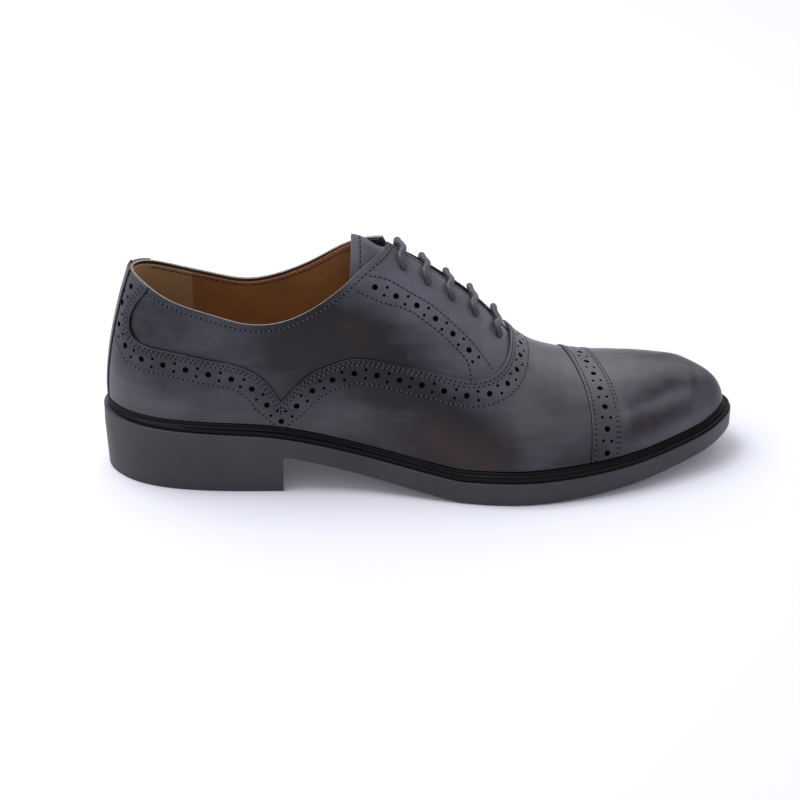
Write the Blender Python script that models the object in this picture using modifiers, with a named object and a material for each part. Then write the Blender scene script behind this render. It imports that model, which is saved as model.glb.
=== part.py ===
"""A right cap-toe brogue shoe, built on the form of its last, in metres with +Z up.

Along the shoe, x runs from the back of the heel to the toe. Across it, the lateral (outer) side
is at -Y and the medial (inner) side at +Y. Every place round the shoe has a turn, an angle that
is 0 at the back of the heel, pi at the toe tip, and passes the lateral side first.
"""

import math

import bmesh
import bpy
import numpy as np

MM = 0.001
TURN = 2 * math.pi

# Sole and heel
SOLE_LENGTH = 302 * MM
BALL_WIDTH = 106 * MM
SOLE_THICKNESS = 11.6 * MM
HEEL_SEAT = 22.2 * MM
HEEL_LENGTH = 84.7 * MM
HEEL_TAPER = 1.2 * MM
TOE_SPRING = 12.5 * MM
SOLE_EDGE_ROUND = 1.2 * MM

# Upper
INSTEP_HEIGHT = 110 * MM
BACK_HEIGHT = 101 * MM
WALL = 2.0 * MM
MARGIN_BACK = 3.8 * MM
MARGIN_SIDE = 5.3 * MM
MARGIN_TOE = 5.6 * MM
THROAT_TOP = 134.6 * MM
THROAT_END = 192 * MM
THROAT_GAP_TOP = 4.6 * MM
THROAT_GAP_END = 1.2 * MM

# Welt, insole and tongue
WELT_THICKNESS = 2.0 * MM
WELT_STEP = 0.9 * MM
RAND_HEIGHT = 4.0 * MM
RAND_THICKNESS = 1.5 * MM
RAND_CLEARANCE = 0.5 * MM
INSOLE_THICKNESS = 3.0 * MM
TONGUE_THICKNESS = 1.6 * MM
TONGUE_BACK = 118 * MM
TONGUE_FRONT = 208 * MM
TONGUE_WIDTH_BACK = 46 * MM
TONGUE_WIDTH_FRONT = 24 * MM
TONGUE_DEPTH = 26 * MM
TONGUE_DROP = 8 * MM
TONGUE_BEND = 10 * MM
TONGUE_CLEARANCE = 0.7 * MM

# Overlays and laces
GALOSH_THICKNESS = 0.8 * MM
CAP_THICKNESS = 1.4 * MM
STRIP_THICKNESS = 1.2 * MM
STRIP_WIDTH = 9.5 * MM
LACE_DIAMETER = 3.1 * MM
LACE_BARS = 5
LACE_FIRST = 139.6 * MM
LACE_LAST = 184.8 * MM
EYELET_SPREAD = 27 * MM
LACE_SKEW = 1.2 * MM

# Clearances and fineness; the columns run from the heel's back to its breast, to the throat's top,
# to its end and to the toe, and a sweep is the number of places tried along a curve
GAP = 0.3 * MM
COLUMNS = (13, 8, 9, 17)
ROWS = 9
TONGUE_COLUMNS = 14
TONGUE_ROWS = 10
LACE_POINTS = 13
SWEEP = 2001
CLIMB_SWEEP = 401
WELD = 0.01 * MM
SHARP_ANGLE = math.radians(40)

# Outline of the sole: share of its length, lateral and medial half width as shares of half the
# ball width
OUTLINE = (
    (0.00, 0.000, 0.000),
    (0.02, 0.300, 0.295),
    (0.05, 0.460, 0.450),
    (0.10, 0.587, 0.582),
    (0.15, 0.645, 0.640),
    (0.20, 0.672, 0.655),
    (0.30, 0.690, 0.605),
    (0.40, 0.735, 0.515),
    (0.50, 0.870, 0.570),
    (0.60, 0.998, 0.810),
    (0.65, 1.018, 0.915),
    (0.70, 0.990, 0.982),
    (0.75, 0.930, 1.000),
    (0.80, 0.845, 0.960),
    (0.85, 0.725, 0.860),
    (0.90, 0.565, 0.710),
    (0.95, 0.382, 0.540),
    (0.98, 0.200, 0.345),
    (1.00, -0.070, 0.070),
)

# Underside of the sole behind the flat tread: share of length, height as a share of the heel seat
ARCH = (
    (0.000, 1.000),
    (0.197, 0.935),
    (0.263, 0.870),
    (0.362, 0.580),
    (0.460, 0.260),
    (0.530, 0.060),
    (0.565, 0.000),
)
ARCH_SLOPE = -0.25
TREAD_END = 0.64
SPRING_POWER = 1.9

# Thickness of the sole: share of length, share of the thickness at the ball
THICKNESS = (
    (0.00, 0.85),
    (0.30, 0.85),
    (0.50, 0.95),
    (0.65, 1.00),
    (0.90, 0.85),
    (1.00, 0.80),
)

# Strip of sole left showing outside the upper: share of length, back, side and toe parts
MARGIN = (
    (0.00, 1.0, 0.0, 0.0),
    (0.12, 0.1, 0.9, 0.0),
    (0.50, 0.0, 1.0, 0.0),
    (0.85, 0.0, 1.0, 0.0),
    (1.00, 0.0, 0.0, 1.0),
)

# Crown line of the last: share of length, height as a share of the instep height, shift to the
# medial side as a share of half the ball width
CROWN = (
    (0.10, 1.260, 0.00),
    (0.20, 1.330, 0.01),
    (0.30, 1.290, 0.03),
    (0.38, 1.165, 0.05),
    (0.46, 1.010, 0.06),
    (0.54, 0.842, 0.06),
    (0.60, 0.697, 0.06),
    (0.66, 0.518, 0.06),
    (0.70, 0.460, 0.06),
    (0.78, 0.398, 0.07),
    (0.86, 0.392, 0.07),
)

# Zones where the columns lean together at the crown: from the first share of length to the second
HEEL_ZONE = (0.30, 0.00)
TOE_ZONE = (0.74, 0.96)

# Sections of the last: share of length, swell outwards on the lateral and the medial side and its
# height, shoulder outwards on both sides and its height, width of the roof. Widths are shares of
# half the ball width, heights are shares of the height from the sole to the crown.
SECTIONS = (
    (0.00, 0.064, 0.064, 0.20, -0.140, -0.140, 0.55, 0.50),
    (0.08, 0.057, 0.057, 0.20, -0.104, -0.104, 0.55, 0.49),
    (0.20, 0.047, 0.038, 0.20, -0.075, -0.075, 0.55, 0.45),
    (0.35, 0.038, 0.019, 0.22, -0.094, -0.113, 0.58, 0.40),
    (0.50, 0.028, 0.038, 0.26, -0.151, -0.132, 0.64, 0.38),
    (0.62, 0.028, 0.038, 0.30, -0.189, -0.170, 0.68, 0.40),
    (0.75, 0.028, 0.028, 0.34, -0.170, -0.208, 0.78, 0.46),
    (0.88, 0.019, 0.019, 0.40, -0.094, -0.113, 0.92, 0.60),
    (1.00, 0.009, 0.009, 0.42, -0.075, -0.075, 0.91, 0.65),
)

# Edge of the collar: share of length, lateral and medial height as shares of the back height
COLLAR = (
    (0.030, 1.020, 1.020),
    (0.060, 1.000, 1.000),
    (0.100, 0.940, 0.945),
    (0.145, 0.893, 0.888),
    (0.185, 0.860, 0.850),
    (0.225, 0.828, 0.828),
    (0.255, 0.822, 0.840),
    (0.285, 0.834, 0.873),
    (0.315, 0.865, 0.920),
    (0.345, 0.912, 0.980),
    (0.375, 0.972, 1.045),
    (0.405, 1.040, 1.090),
    (0.446, 1.110, 1.118),
)

# Upper edge of the galosh in side view, back of the notch and front of it: share of length, height
# as a share of the back height
GALOSH_BACK = (
    (0.092, 1.060),
    (0.075, 0.948),
    (0.059, 0.878),
    (0.050, 0.815),
    (0.049, 0.760),
    (0.059, 0.716),
    (0.078, 0.697),
    (0.106, 0.689),
    (0.140, 0.675),
    (0.174, 0.656),
    (0.207, 0.637),
    (0.233, 0.607),
    (0.257, 0.550),
    (0.279, 0.450),
)
GALOSH_FRONT = (
    (0.279, 0.450),
    (0.301, 0.526),
    (0.327, 0.588),
    (0.355, 0.625),
    (0.386, 0.652),
    (0.418, 0.650),
    (0.465, 0.625),
    (0.520, 0.590),
    (0.570, 0.555),
    (0.592, 0.554),
    (0.613, 0.568),
    (0.631, 0.598),
    (0.641, 0.640),
    (0.647, 0.720),
)

# Back edge of the toe cap in plan: share of half the ball width towards the medial side, share of
# length
CAP_EDGE = (
    (-1.10, 0.752),
    (-0.60, 0.760),
    (-0.20, 0.750),
    (0.20, 0.736),
    (0.60, 0.726),
    (1.10, 0.722),
)


def spline(knots, values, at, slopes=None, period=None):
    """Cubic spline through a table column: natural, with given end slopes, or closed."""
    knots = np.asarray(knots, float)
    values = np.asarray(values, float)
    if period:
        knots = np.append(knots, knots[0] + period)
        values = np.append(values, values[0])
    step = np.diff(knots)
    rise = np.diff(values) / step
    count = len(knots)
    matrix = np.zeros((count, count))
    right = np.zeros(count)
    for i in range(1, count - 1):
        matrix[i, i - 1:i + 2] = step[i - 1], 2 * (step[i - 1] + step[i]), step[i]
        right[i] = 6 * (rise[i] - rise[i - 1])
    if period:
        matrix[0, 0], matrix[0, -1] = 1, -1
        matrix[-1, :2] = 2 * step[0], step[0]
        matrix[-1, -2:] = step[-1], 2 * step[-1]
        right[-1] = 6 * (rise[0] - rise[-1])
    elif slopes:
        matrix[0, :2] = 2 * step[0], step[0]
        matrix[-1, -2:] = step[-1], 2 * step[-1]
        right[0] = 6 * (rise[0] - slopes[0])
        right[-1] = 6 * (slopes[1] - rise[-1])
    else:
        matrix[0, 0] = matrix[-1, -1] = 1
    bend = np.linalg.solve(matrix, right)
    at = np.asarray(at, float)
    if period:
        at = knots[0] + (at - knots[0]) % period
    i = np.clip(np.searchsorted(knots, at, side="right") - 1, 0, count - 2)
    left, ahead, width = at - knots[i], knots[i + 1] - at, step[i]
    return (
        (bend[i] * ahead**3 + bend[i + 1] * left**3) / (6 * width)
        + (values[i] / width - bend[i] * width / 6) * ahead
        + (values[i + 1] / width - bend[i + 1] * width / 6) * left
    )


def column_of(table, index):
    """One column of a table."""
    return [row[index] for row in table]


def turn_of_share(share):
    """Lateral turn at a share of the length."""
    return np.arccos(1 - 2 * np.asarray(share, float))


def round_shoe(table, lateral, medial, turn, mirror=1):
    """A table's lateral and medial columns read as one closed curve round the shoe."""
    ahead = list(turn_of_share(column_of(table, 0)))
    knots = ahead + [TURN - place for place in ahead[-2:0:-1]]
    values = [mirror * value for value in column_of(table, lateral)]
    values += column_of(table, medial)[-2:0:-1]
    return spline(knots, values, turn, period=TURN)


def sole_edge(turn):
    """Plan of the sole's edge, (x, y) at each turn."""
    x = SOLE_LENGTH * (1 - np.cos(turn)) / 2
    y = BALL_WIDTH / 2 * round_shoe(OUTLINE, 1, 2, turn, mirror=-1)
    return np.stack([x, y], -1)


def outward(turn):
    """Unit direction out of the sole's edge, in plan."""
    reach = 0.001
    along = sole_edge(turn + reach) - sole_edge(turn - reach)
    across = np.stack([along[..., 1], -along[..., 0]], -1)
    return across / np.linalg.norm(across, axis=-1, keepdims=True)


def tread(x):
    """Height of the sole's underside: heel seat, arch, flat tread and toe spring."""
    share = np.asarray(x, float) / SOLE_LENGTH
    flat = ARCH[-1][0]
    behind = np.clip(share, 0, flat)
    arch = spline(column_of(ARCH, 0), column_of(ARCH, 1), behind, slopes=(ARCH_SLOPE, 0))
    toe = (np.clip(share - TREAD_END, 0, None) / (1 - TREAD_END)) ** SPRING_POWER
    return np.where(share < flat, HEEL_SEAT * arch, TOE_SPRING * toe)


def seat(x):
    """Height of the sole's top face."""
    share = np.clip(np.asarray(x, float) / SOLE_LENGTH, 0, 1)
    thickness = spline(column_of(THICKNESS, 0), column_of(THICKNESS, 1), share)
    return tread(x) + SOLE_THICKNESS * thickness


def margin(turn):
    """Width of the strip of sole that shows outside the upper."""
    parts = [round_shoe(MARGIN, i, i, turn) for i in (1, 2, 3)]
    return MARGIN_BACK * parts[0] + MARGIN_SIDE * parts[1] + MARGIN_TOE * parts[2]


def feather(turn, inset=0.0):
    """Plan of the upper's lower edge, moved inwards by the inset."""
    return sole_edge(turn) - outward(turn) * (margin(turn) + inset)[..., None]


def crown(x):
    """Point of the crown line over each x."""
    share = np.asarray(x, float) / SOLE_LENGTH
    shares = column_of(CROWN, 0)
    z = INSTEP_HEIGHT * spline(shares, column_of(CROWN, 1), share)
    y = BALL_WIDTH / 2 * spline(shares, column_of(CROWN, 2), share)
    return np.stack([np.asarray(x, float), y, z], -1)


def crown_reach(turn):
    """Where on the crown line each column ends; they gather at the heel and at the toe."""
    share = (1 - np.cos(turn)) / 2
    reach = share
    for start, end in (HEEL_ZONE, TOE_ZONE):
        into = np.clip((share - start) / (end - start), 0, None)
        gathered = start + (end - start) * (into - into**2 / 2)
        at_pole = start + (end - start) / 2
        reach = np.where(into > 0, np.where(into < 1, gathered, at_pole), reach)
    return SOLE_LENGTH * reach


def turn_of_crown(x):
    """Lateral turn of the column that ends on the crown line at x."""
    fine = np.linspace(0, math.pi, SWEEP)
    return np.interp(x, crown_reach(fine), fine)


def wall(turn, climb):
    """Outer face of the upper: turn round the shoe, climb from the sole (0) to the crown (1)."""
    turn = np.asarray(turn, float)
    climb = np.asarray(climb, float)[..., None]
    foot = feather(turn)
    out = outward(turn) * (BALL_WIDTH / 2)
    top = crown(crown_reach(turn))
    base = seat(foot[..., 0]) + GAP
    height = top[..., 2] - base

    def part(lateral, medial):
        return round_shoe(SECTIONS, lateral, medial, turn)[..., None]

    level = (base, base + height * part(3, 3)[..., 0], base + height * part(6, 6)[..., 0])
    roof = top[..., :2] + (foot - top[..., :2]) * part(7, 7)
    plan = (foot, foot + out * part(1, 2), foot + out * part(4, 5))
    points = [np.concatenate([p, z[..., None]], -1) for p, z in zip(plan, level)]
    points += [np.concatenate([roof, top[..., 2:]], -1), top]
    order = len(points) - 1
    return sum(
        math.comb(order, i) * climb**i * (1 - climb) ** (order - i) * point
        for i, point in enumerate(points)
    )


def wall_normal(turn, climb):
    """Unit direction out of the upper's outer face."""
    reach = 0.002
    climb = np.clip(climb, reach, 1 - reach)
    round_it = wall(turn + reach, climb) - wall(turn - reach, climb)
    up_it = wall(turn, climb + reach) - wall(turn, climb - reach)
    normal = np.cross(round_it, up_it)
    return normal / np.linalg.norm(normal, axis=-1, keepdims=True)


def first_climb(turn, reached):
    """Lowest climb of each turn's wall where the test reached(points, side) holds, else 1."""
    steps = np.linspace(0, 1, CLIMB_SWEEP)
    turn = np.asarray(turn, float)
    points = wall(turn[:, None] + 0 * steps, steps + 0 * turn[:, None])
    held = reached(points, (turn > math.pi)[:, None])
    held[:, -1] = True
    return steps[held.argmax(1)]


def rim_reached(points, medial):
    """True above the collar's edge, and inside the throat's gap."""
    share = points[..., 0] / SOLE_LENGTH
    shares = column_of(COLLAR, 0)
    within = np.clip(share, shares[0], shares[-1])
    heights = [spline(shares, column_of(COLLAR, i), within) for i in (1, 2)]
    over = points[..., 2] >= BACK_HEIGHT * np.where(medial, heights[1], heights[0])
    along = (points[..., 0] - THROAT_TOP) / (THROAT_END - THROAT_TOP)
    half_gap = THROAT_GAP_TOP + (THROAT_GAP_END - THROAT_GAP_TOP) * along
    aside = np.abs(points[..., 1] - crown(points[..., 0])[..., 1])
    in_throat = (along > -0.001) & (along < 1.001) & (aside <= half_gap)
    return (over & (along < -0.001)) | in_throat


def run_along(points):
    """Distance run along a line of points, at each point."""
    return np.append(0, np.cumsum(np.linalg.norm(np.diff(points, axis=0), axis=1)))


def turns_round():
    """Turns of the columns, with one at the heel breast and at both ends of the throat."""
    fine = np.linspace(0, math.pi, SWEEP)
    run = run_along(sole_edge(fine))
    x = crown_reach(fine)
    marks = [0, np.interp(HEEL_LENGTH, sole_edge(fine)[:, 0], fine)]
    marks += [np.interp(THROAT_TOP, x, fine), np.interp(THROAT_END, x, fine), math.pi]
    lateral = [0.0]
    for start, end, count in zip(marks, marks[1:], COLUMNS):
        lengths = np.interp([start, end], fine, run)
        lateral += list(np.interp(np.linspace(*lengths, count + 1)[1:], run, fine))
    return np.array(lateral + [TURN - place for place in lateral[-2::-1]])


def last_surface():
    """Grid of points on the upper's outer face: foot, top of the rand, and on up to the rim."""
    turn = turns_round()
    rim = first_climb(turn, rim_reached)
    rim[-1] = rim[0]
    rand_top = seat(feather(turn)[:, 0]) + GAP + RAND_HEIGHT + RAND_CLEARANCE
    low = first_climb(turn, lambda points, medial: points[..., 2] >= rand_top[:, None])
    climb = low[:, None] + (rim - low)[:, None] * np.linspace(0, 1, ROWS)
    climb = np.concatenate([0 * low[:, None], climb], 1)
    return wall(turn[:, None] + 0 * climb, climb)


def origin_shift():
    """Centre of the sole's plan, which becomes the origin."""
    edge = sole_edge(turns_round())
    return (edge.min(0) + edge.max(0)) / 2


def make_material(name, colour, roughness, metallic=0.0):
    material = bpy.data.materials.new(name)
    material.use_nodes = True
    shader = material.node_tree.nodes["Principled BSDF"]
    shader.inputs["Base Color"].default_value = (*colour, 1)
    shader.inputs["Roughness"].default_value = roughness
    shader.inputs["Metallic"].default_value = metallic
    return material


def add_object(name, data, collection, material=None):
    """Object of a mesh or curve, placed so that the shoe stands centred on the origin."""
    thing = bpy.data.objects.new(name, data)
    shift = origin_shift()
    thing.location = (-shift[0], -shift[1], 0)
    if material:
        data.materials.append(material)
    collection.objects.link(thing)
    return thing


def finish_mesh(shape, mesh):
    """Puts the shape in the mesh, smooth but for its sharp edges."""
    shape.to_mesh(mesh)
    shape.free()
    mesh.shade_smooth()
    mesh.set_sharp_from_angle(angle=SHARP_ANGLE)
    return mesh


def grid_mesh(name, points, closed=False, out=0.0):
    """Grid bent to the points and moved out along its normals; edges that meet are welded.

    A closed grid is also joined across, from its last row to its first."""
    columns, rows = points.shape[:2]
    if closed:
        points = np.concatenate([points, points[:, :1]], 1)
        rows += 1
    shape = bmesh.new()
    bmesh.ops.create_grid(shape, x_segments=columns - 1, y_segments=rows - 1, size=1)
    shape.verts.ensure_lookup_table()
    for vert in shape.verts:
        column = round((vert.co.x + 1) / 2 * (columns - 1))
        row = round((vert.co.y + 1) / 2 * (rows - 1))
        vert.co = points[column, row]
    bmesh.ops.remove_doubles(shape, verts=shape.verts, dist=WELD)
    bmesh.ops.dissolve_degenerate(shape, edges=shape.edges, dist=WELD)
    bmesh.ops.triangulate(shape, faces=shape.faces, quad_method="FIXED")
    shape.normal_update()
    moved = [vert.co + vert.normal * out for vert in shape.verts]
    for vert, place in zip(shape.verts, moved):
        vert.co = place
    return finish_mesh(shape, bpy.data.meshes.new(name))


def stack_mesh(name, turns, levels):
    """Solid between plan loops: each level gives the points of both sides at the turns."""
    lateral = np.array([level(turns) for level in levels])
    medial = np.array([level(TURN - turns) for level in levels])
    bottom = (lateral[:1] + medial[:1]) / 2
    top = (lateral[-1:] + medial[-1:]) / 2
    ring = np.concatenate([bottom, lateral, top, medial[::-1]])
    mesh = grid_mesh(name, ring.transpose(1, 0, 2), closed=True)
    shape = bmesh.new()
    shape.from_mesh(mesh)
    edges = [edge for edge in shape.edges if edge.is_boundary]
    bmesh.ops.holes_fill(shape, edges=edges)
    bmesh.ops.recalc_face_normals(shape, faces=shape.faces)
    return finish_mesh(shape, mesh)


def level_of(inset, height):
    """Level for stack_mesh: the sole's edge moved in, at a height that follows x."""

    def points(turns):
        plan = sole_edge(turns) - outward(turns) * inset
        return np.concatenate([plan, height(plan[:, 0])[:, None]], 1)

    return points


def half_turns(end=SOLE_LENGTH):
    """Lateral turns of the columns, from the heel's back to an x."""
    turns = turns_round()
    lateral = turns[turns <= math.pi + 1e-9]
    return lateral[sole_edge(lateral)[:, 0] <= end + 1e-9]


def add_shell(thing, thickness, outwards):
    shell = thing.modifiers.new("Wall", "SOLIDIFY")
    shell.thickness = thickness
    shell.offset = 1 if outwards else -1
    shell.use_even_offset = True
    shell.use_quality_normals = True
    return shell


def add_cut(thing, cutter, operation):
    cut = thing.modifiers.new(cutter.name, "BOOLEAN")
    cut.operation = operation
    cut.solver = "EXACT"
    cut.object = cutter
    return cut


def smooth_path(points, steps):
    """Natural spline through plan points, read at even steps."""
    points = np.asarray(points, float)
    run = run_along(points)
    at = np.linspace(0, run[-1], steps)
    return np.stack([spline(run, points[:, i], at) for i in (0, 1)], 1)


def add_slab(name, outline, depth, upright, collection):
    """Cutter: a flat outline, in side view if upright, else in plan, thickened both ways."""
    curve = bpy.data.curves.new(name + "_outline", "CURVE")
    curve.dimensions = "2D"
    curve.fill_mode = "BOTH"
    curve.extrude = depth
    line = curve.splines.new("POLY")
    line.points.add(len(outline) - 1)
    for point, place in zip(line.points, outline):
        point.co = (place[0], place[1], 0, 1)
    line.use_cyclic_u = True
    drawn = add_object(name + "_outline", curve, collection)
    if upright:
        drawn.rotation_euler.x = math.pi / 2
    bpy.context.view_layer.update()
    seen = drawn.evaluated_get(bpy.context.evaluated_depsgraph_get())
    mesh = bpy.data.meshes.new_from_object(seen)
    shape = bmesh.new()
    shape.from_mesh(mesh)
    bmesh.ops.remove_doubles(shape, verts=shape.verts, dist=WELD)
    bmesh.ops.recalc_face_normals(shape, faces=shape.faces)
    shape.to_mesh(mesh)
    shape.free()
    cutter = bpy.data.objects.new(name, mesh)
    cutter.matrix_world = drawn.matrix_world
    collection.objects.link(cutter)
    bpy.data.objects.remove(drawn)
    cutter.hide_render = True
    cutter.display_type = "WIRE"
    return cutter


def make_outsole(collection, material):
    """Sole with its outline, arch, flat tread, toe spring and rounded lower edge."""
    levels = (
        level_of(SOLE_EDGE_ROUND, tread),
        level_of(0, lambda x: tread(x) + SOLE_EDGE_ROUND),
        level_of(0, seat),
    )
    add_object("outsole", stack_mesh("outsole", half_turns(), levels), collection, material)


def make_heel(collection, material):
    """Heel block under the seat, up to its straight breast."""
    levels = (
        level_of(HEEL_TAPER, np.zeros_like),
        level_of(0, lambda x: tread(x) - GAP),
    )
    turns = half_turns(HEEL_LENGTH)
    add_object("heel", stack_mesh("heel", turns, levels), collection, material)


def make_insole(collection, material):
    """Insole inside the foot of the upper."""

    def level(height):
        def points(turns):
            plan = feather(turns, WALL + GAP)
            return np.concatenate([plan, (seat(plan[:, 0]) + height)[:, None]], 1)

        return points

    levels = (level(GAP), level(GAP + INSOLE_THICKNESS))
    add_object("insole", stack_mesh("insole", half_turns(), levels), collection, material)


def make_welt(collection, material):
    """Welt on the sole's margin, with the rand that stands against the upper."""
    turn = turns_round()
    foot = last_surface()[:, :2]
    slope = foot[:, 1] - foot[:, 0]

    def beside(height, distance):
        inner = foot[:, 0] + slope * (height / slope[:, 2])[:, None]
        return inner + np.pad(outward(turn) * (GAP + distance), ((0, 0), (0, 1)))

    edge = sole_edge(turn) - outward(turn) * WELT_STEP
    floor = (seat(edge[:, 0]) + GAP)[:, None]
    section = (
        beside(0, 0),
        np.concatenate([edge, floor], 1),
        np.concatenate([edge, floor + WELT_THICKNESS], 1),
        beside(WELT_THICKNESS, RAND_THICKNESS),
        beside(RAND_HEIGHT - RAND_THICKNESS / 2, RAND_THICKNESS),
        beside(RAND_HEIGHT, RAND_THICKNESS / 2),
        beside(RAND_HEIGHT, 0),
    )
    points = np.stack(section, 1)
    add_object("welt", grid_mesh("welt", points, closed=True), collection, material)


def make_upper(collection, material):
    """Quarters and lasted forepart: one hollow wall, open at collar, throat and sole."""
    upper = add_object("upper", grid_mesh("upper", last_surface()), collection, material)
    add_shell(upper, WALL, outwards=False)


def make_overlay(name, thickness, collection, material):
    """Skin over the whole upper, from the rand up, ready to be cut to its outline."""
    points = last_surface()[:, 1:]
    skin = add_object(name, grid_mesh(name, points, out=GAP), collection, material)
    add_shell(skin, thickness, outwards=True)
    return skin


def galosh_cutter(collection):
    """Side view of the galosh, below its waved upper edge."""
    size = (SOLE_LENGTH, BACK_HEIGHT)
    back = smooth_path(np.array(GALOSH_BACK) * size, 30)
    front = smooth_path(np.array(GALOSH_FRONT) * size, 36)
    high = 1.2 * INSTEP_HEIGHT
    low = -0.2 * BACK_HEIGHT
    ahead = 1.1 * SOLE_LENGTH
    behind = -0.1 * SOLE_LENGTH
    corners = [(front[-1][0], high), (ahead, high), (ahead, low), (behind, low)]
    corners += [(behind, high), (back[0][0], high)]
    outline = np.concatenate([back, front[1:], corners])
    return add_slab("galosh_cutter", outline, BALL_WIDTH, True, collection)


def cap_cutter(name, clearance, collection):
    """Plan of the toe cap, ahead of its back edge."""
    table = np.array(CAP_EDGE)
    size = (SOLE_LENGTH, BALL_WIDTH / 2)
    edge = smooth_path(table[:, ::-1] * size, 16) - (clearance, 0)
    ahead = 1.1 * SOLE_LENGTH
    outline = np.concatenate([edge, [(ahead, edge[-1][1]), (ahead, edge[0][1])]])
    return add_slab(name, outline, 2 * INSTEP_HEIGHT, False, collection)


def strip_cutter(name, clearance, collection):
    """Plan of the back strip."""
    half = STRIP_WIDTH / 2 + clearance
    reach = 0.12 * SOLE_LENGTH
    outline = [(-reach, -half), (reach, -half), (reach, half), (-reach, half)]
    return add_slab(name, outline, 2 * INSTEP_HEIGHT, False, collection)


def make_overlays(collection, cutters, material):
    """Galosh round the lower shoe, toe cap and back strip, cut from skins over the upper."""
    galosh = make_overlay("galosh", GALOSH_THICKNESS, collection, material)
    add_cut(galosh, galosh_cutter(cutters), "INTERSECT")
    add_cut(galosh, cap_cutter("cap_clearance", GAP, cutters), "DIFFERENCE")
    add_cut(galosh, strip_cutter("strip_clearance", GAP, cutters), "DIFFERENCE")
    cap = make_overlay("toe_cap", CAP_THICKNESS, collection, material)
    add_cut(cap, cap_cutter("cap_cutter", 0, cutters), "INTERSECT")
    strip = make_overlay("back_strip", STRIP_THICKNESS, collection, material)
    add_cut(strip, strip_cutter("strip_cutter", 0, cutters), "INTERSECT")


def make_tongue(collection, material):
    """Tongue under the facings, from inside the collar to under the vamp."""
    x = np.linspace(TONGUE_BACK, TONGUE_FRONT, TONGUE_COLUMNS)
    turn = turn_of_crown(x)
    width = np.linspace(TONGUE_WIDTH_BACK, TONGUE_WIDTH_FRONT, TONGUE_COLUMNS)
    bend = THROAT_TOP + TONGUE_BEND
    behind = np.clip((bend - x) / (bend - TONGUE_BACK), 0, None)
    drop = TONGUE_DROP * behind**2

    def side(turns):
        def reached(points, medial):
            top = crown(points[..., 0])
            aside = np.abs(points[..., 1] - top[..., 1])
            return (aside <= width[:, None] / 2) & (top[..., 2] - points[..., 2] <= TONGUE_DEPTH)

        start = first_climb(turns, reached)[:, None]
        climb = start + (1 - start) * np.linspace(0, 1, TONGUE_ROWS // 2 + 1)
        every = turns[:, None] + 0 * climb
        under = wall(every, climb) - (WALL + TONGUE_CLEARANCE) * wall_normal(every, climb)
        return under - drop[:, None, None] * np.array([0, 0, 1])

    lateral, medial = side(turn), side(TURN - turn)
    points = np.concatenate([lateral, medial[:, -2::-1]], 1)
    mesh = grid_mesh("tongue", points)
    tongue = add_object("tongue", mesh, collection, material)
    add_shell(tongue, TONGUE_THICKNESS, outwards=False)


def over_crown(x, aside):
    """Turn and climb at a distance from the crown line, measured down the wall over x."""
    turn = turn_of_crown(x)
    turn = TURN - turn if aside > 0 else turn
    climb = np.linspace(1, 0, CLIMB_SWEEP)
    run = run_along(wall(turn + 0 * climb, climb))
    return turn, np.interp(abs(aside), run, climb)


def make_laces(collection, material):
    """Straight bars of lace that lie over the closed facings."""
    for number, x in enumerate(np.linspace(LACE_FIRST, LACE_LAST, LACE_BARS), 1):
        curve = bpy.data.curves.new(f"lace_bar_{number}", "CURVE")
        curve.dimensions = "3D"
        curve.bevel_depth = LACE_DIAMETER / 2
        curve.bevel_resolution = 2
        curve.use_fill_caps = True
        line = curve.splines.new("POLY")
        line.points.add(LACE_POINTS - 1)
        for point, share in zip(line.points, np.linspace(-0.5, 0.5, LACE_POINTS)):
            turn, climb = over_crown(x - LACE_SKEW * share, EYELET_SPREAD * share)
            lift = (LACE_DIAMETER / 2 + GAP) * wall_normal(turn, climb)
            point.co = (*(wall(turn, climb) + lift), 1)
        add_object(curve.name, curve, collection, material)


def main():
    for thing in list(bpy.data.objects):
        bpy.data.objects.remove(thing)
    shoe = bpy.data.collections.new("brogue_shoe")
    cutters = bpy.data.collections.new("cutters")
    for collection in (shoe, cutters):
        bpy.context.scene.collection.children.link(collection)
    leather = make_material("polished_leather", (0.045, 0.042, 0.05), 0.35)
    lining = make_material("lining_leather", (0.30, 0.17, 0.07), 0.6)
    edge = make_material("sole_edge", (0.06, 0.06, 0.065), 0.55)
    black = make_material("welt_black", (0.008, 0.008, 0.01), 0.35)
    cord = make_material("waxed_lace", (0.05, 0.048, 0.055), 0.5)
    make_outsole(shoe, edge)
    make_heel(shoe, edge)
    make_insole(shoe, lining)
    make_welt(shoe, black)
    make_upper(shoe, leather)
    make_overlays(shoe, cutters, leather)
    make_tongue(shoe, leather)
    make_laces(shoe, cord)


main()
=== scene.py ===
"""Looks of a right cap-toe brogue shoe: burnished leather, seams, perforations, lace and studio.

Along the shoe, x runs from the back of the heel to the toe; the lateral (outer) side is at -Y.
Every place round the shoe has a turn, an angle that is 0 at the back of the heel, pi at the toe
tip, and passes the lateral side first. A climb goes from the sole (0) to the crown line (1).
"""

import functools
import math

import bmesh
import bpy
import numpy as np
from bpy.props import FloatProperty, FloatVectorProperty, PointerProperty
from mathutils import Matrix, Vector
from mathutils.bvhtree import BVHTree


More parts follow.
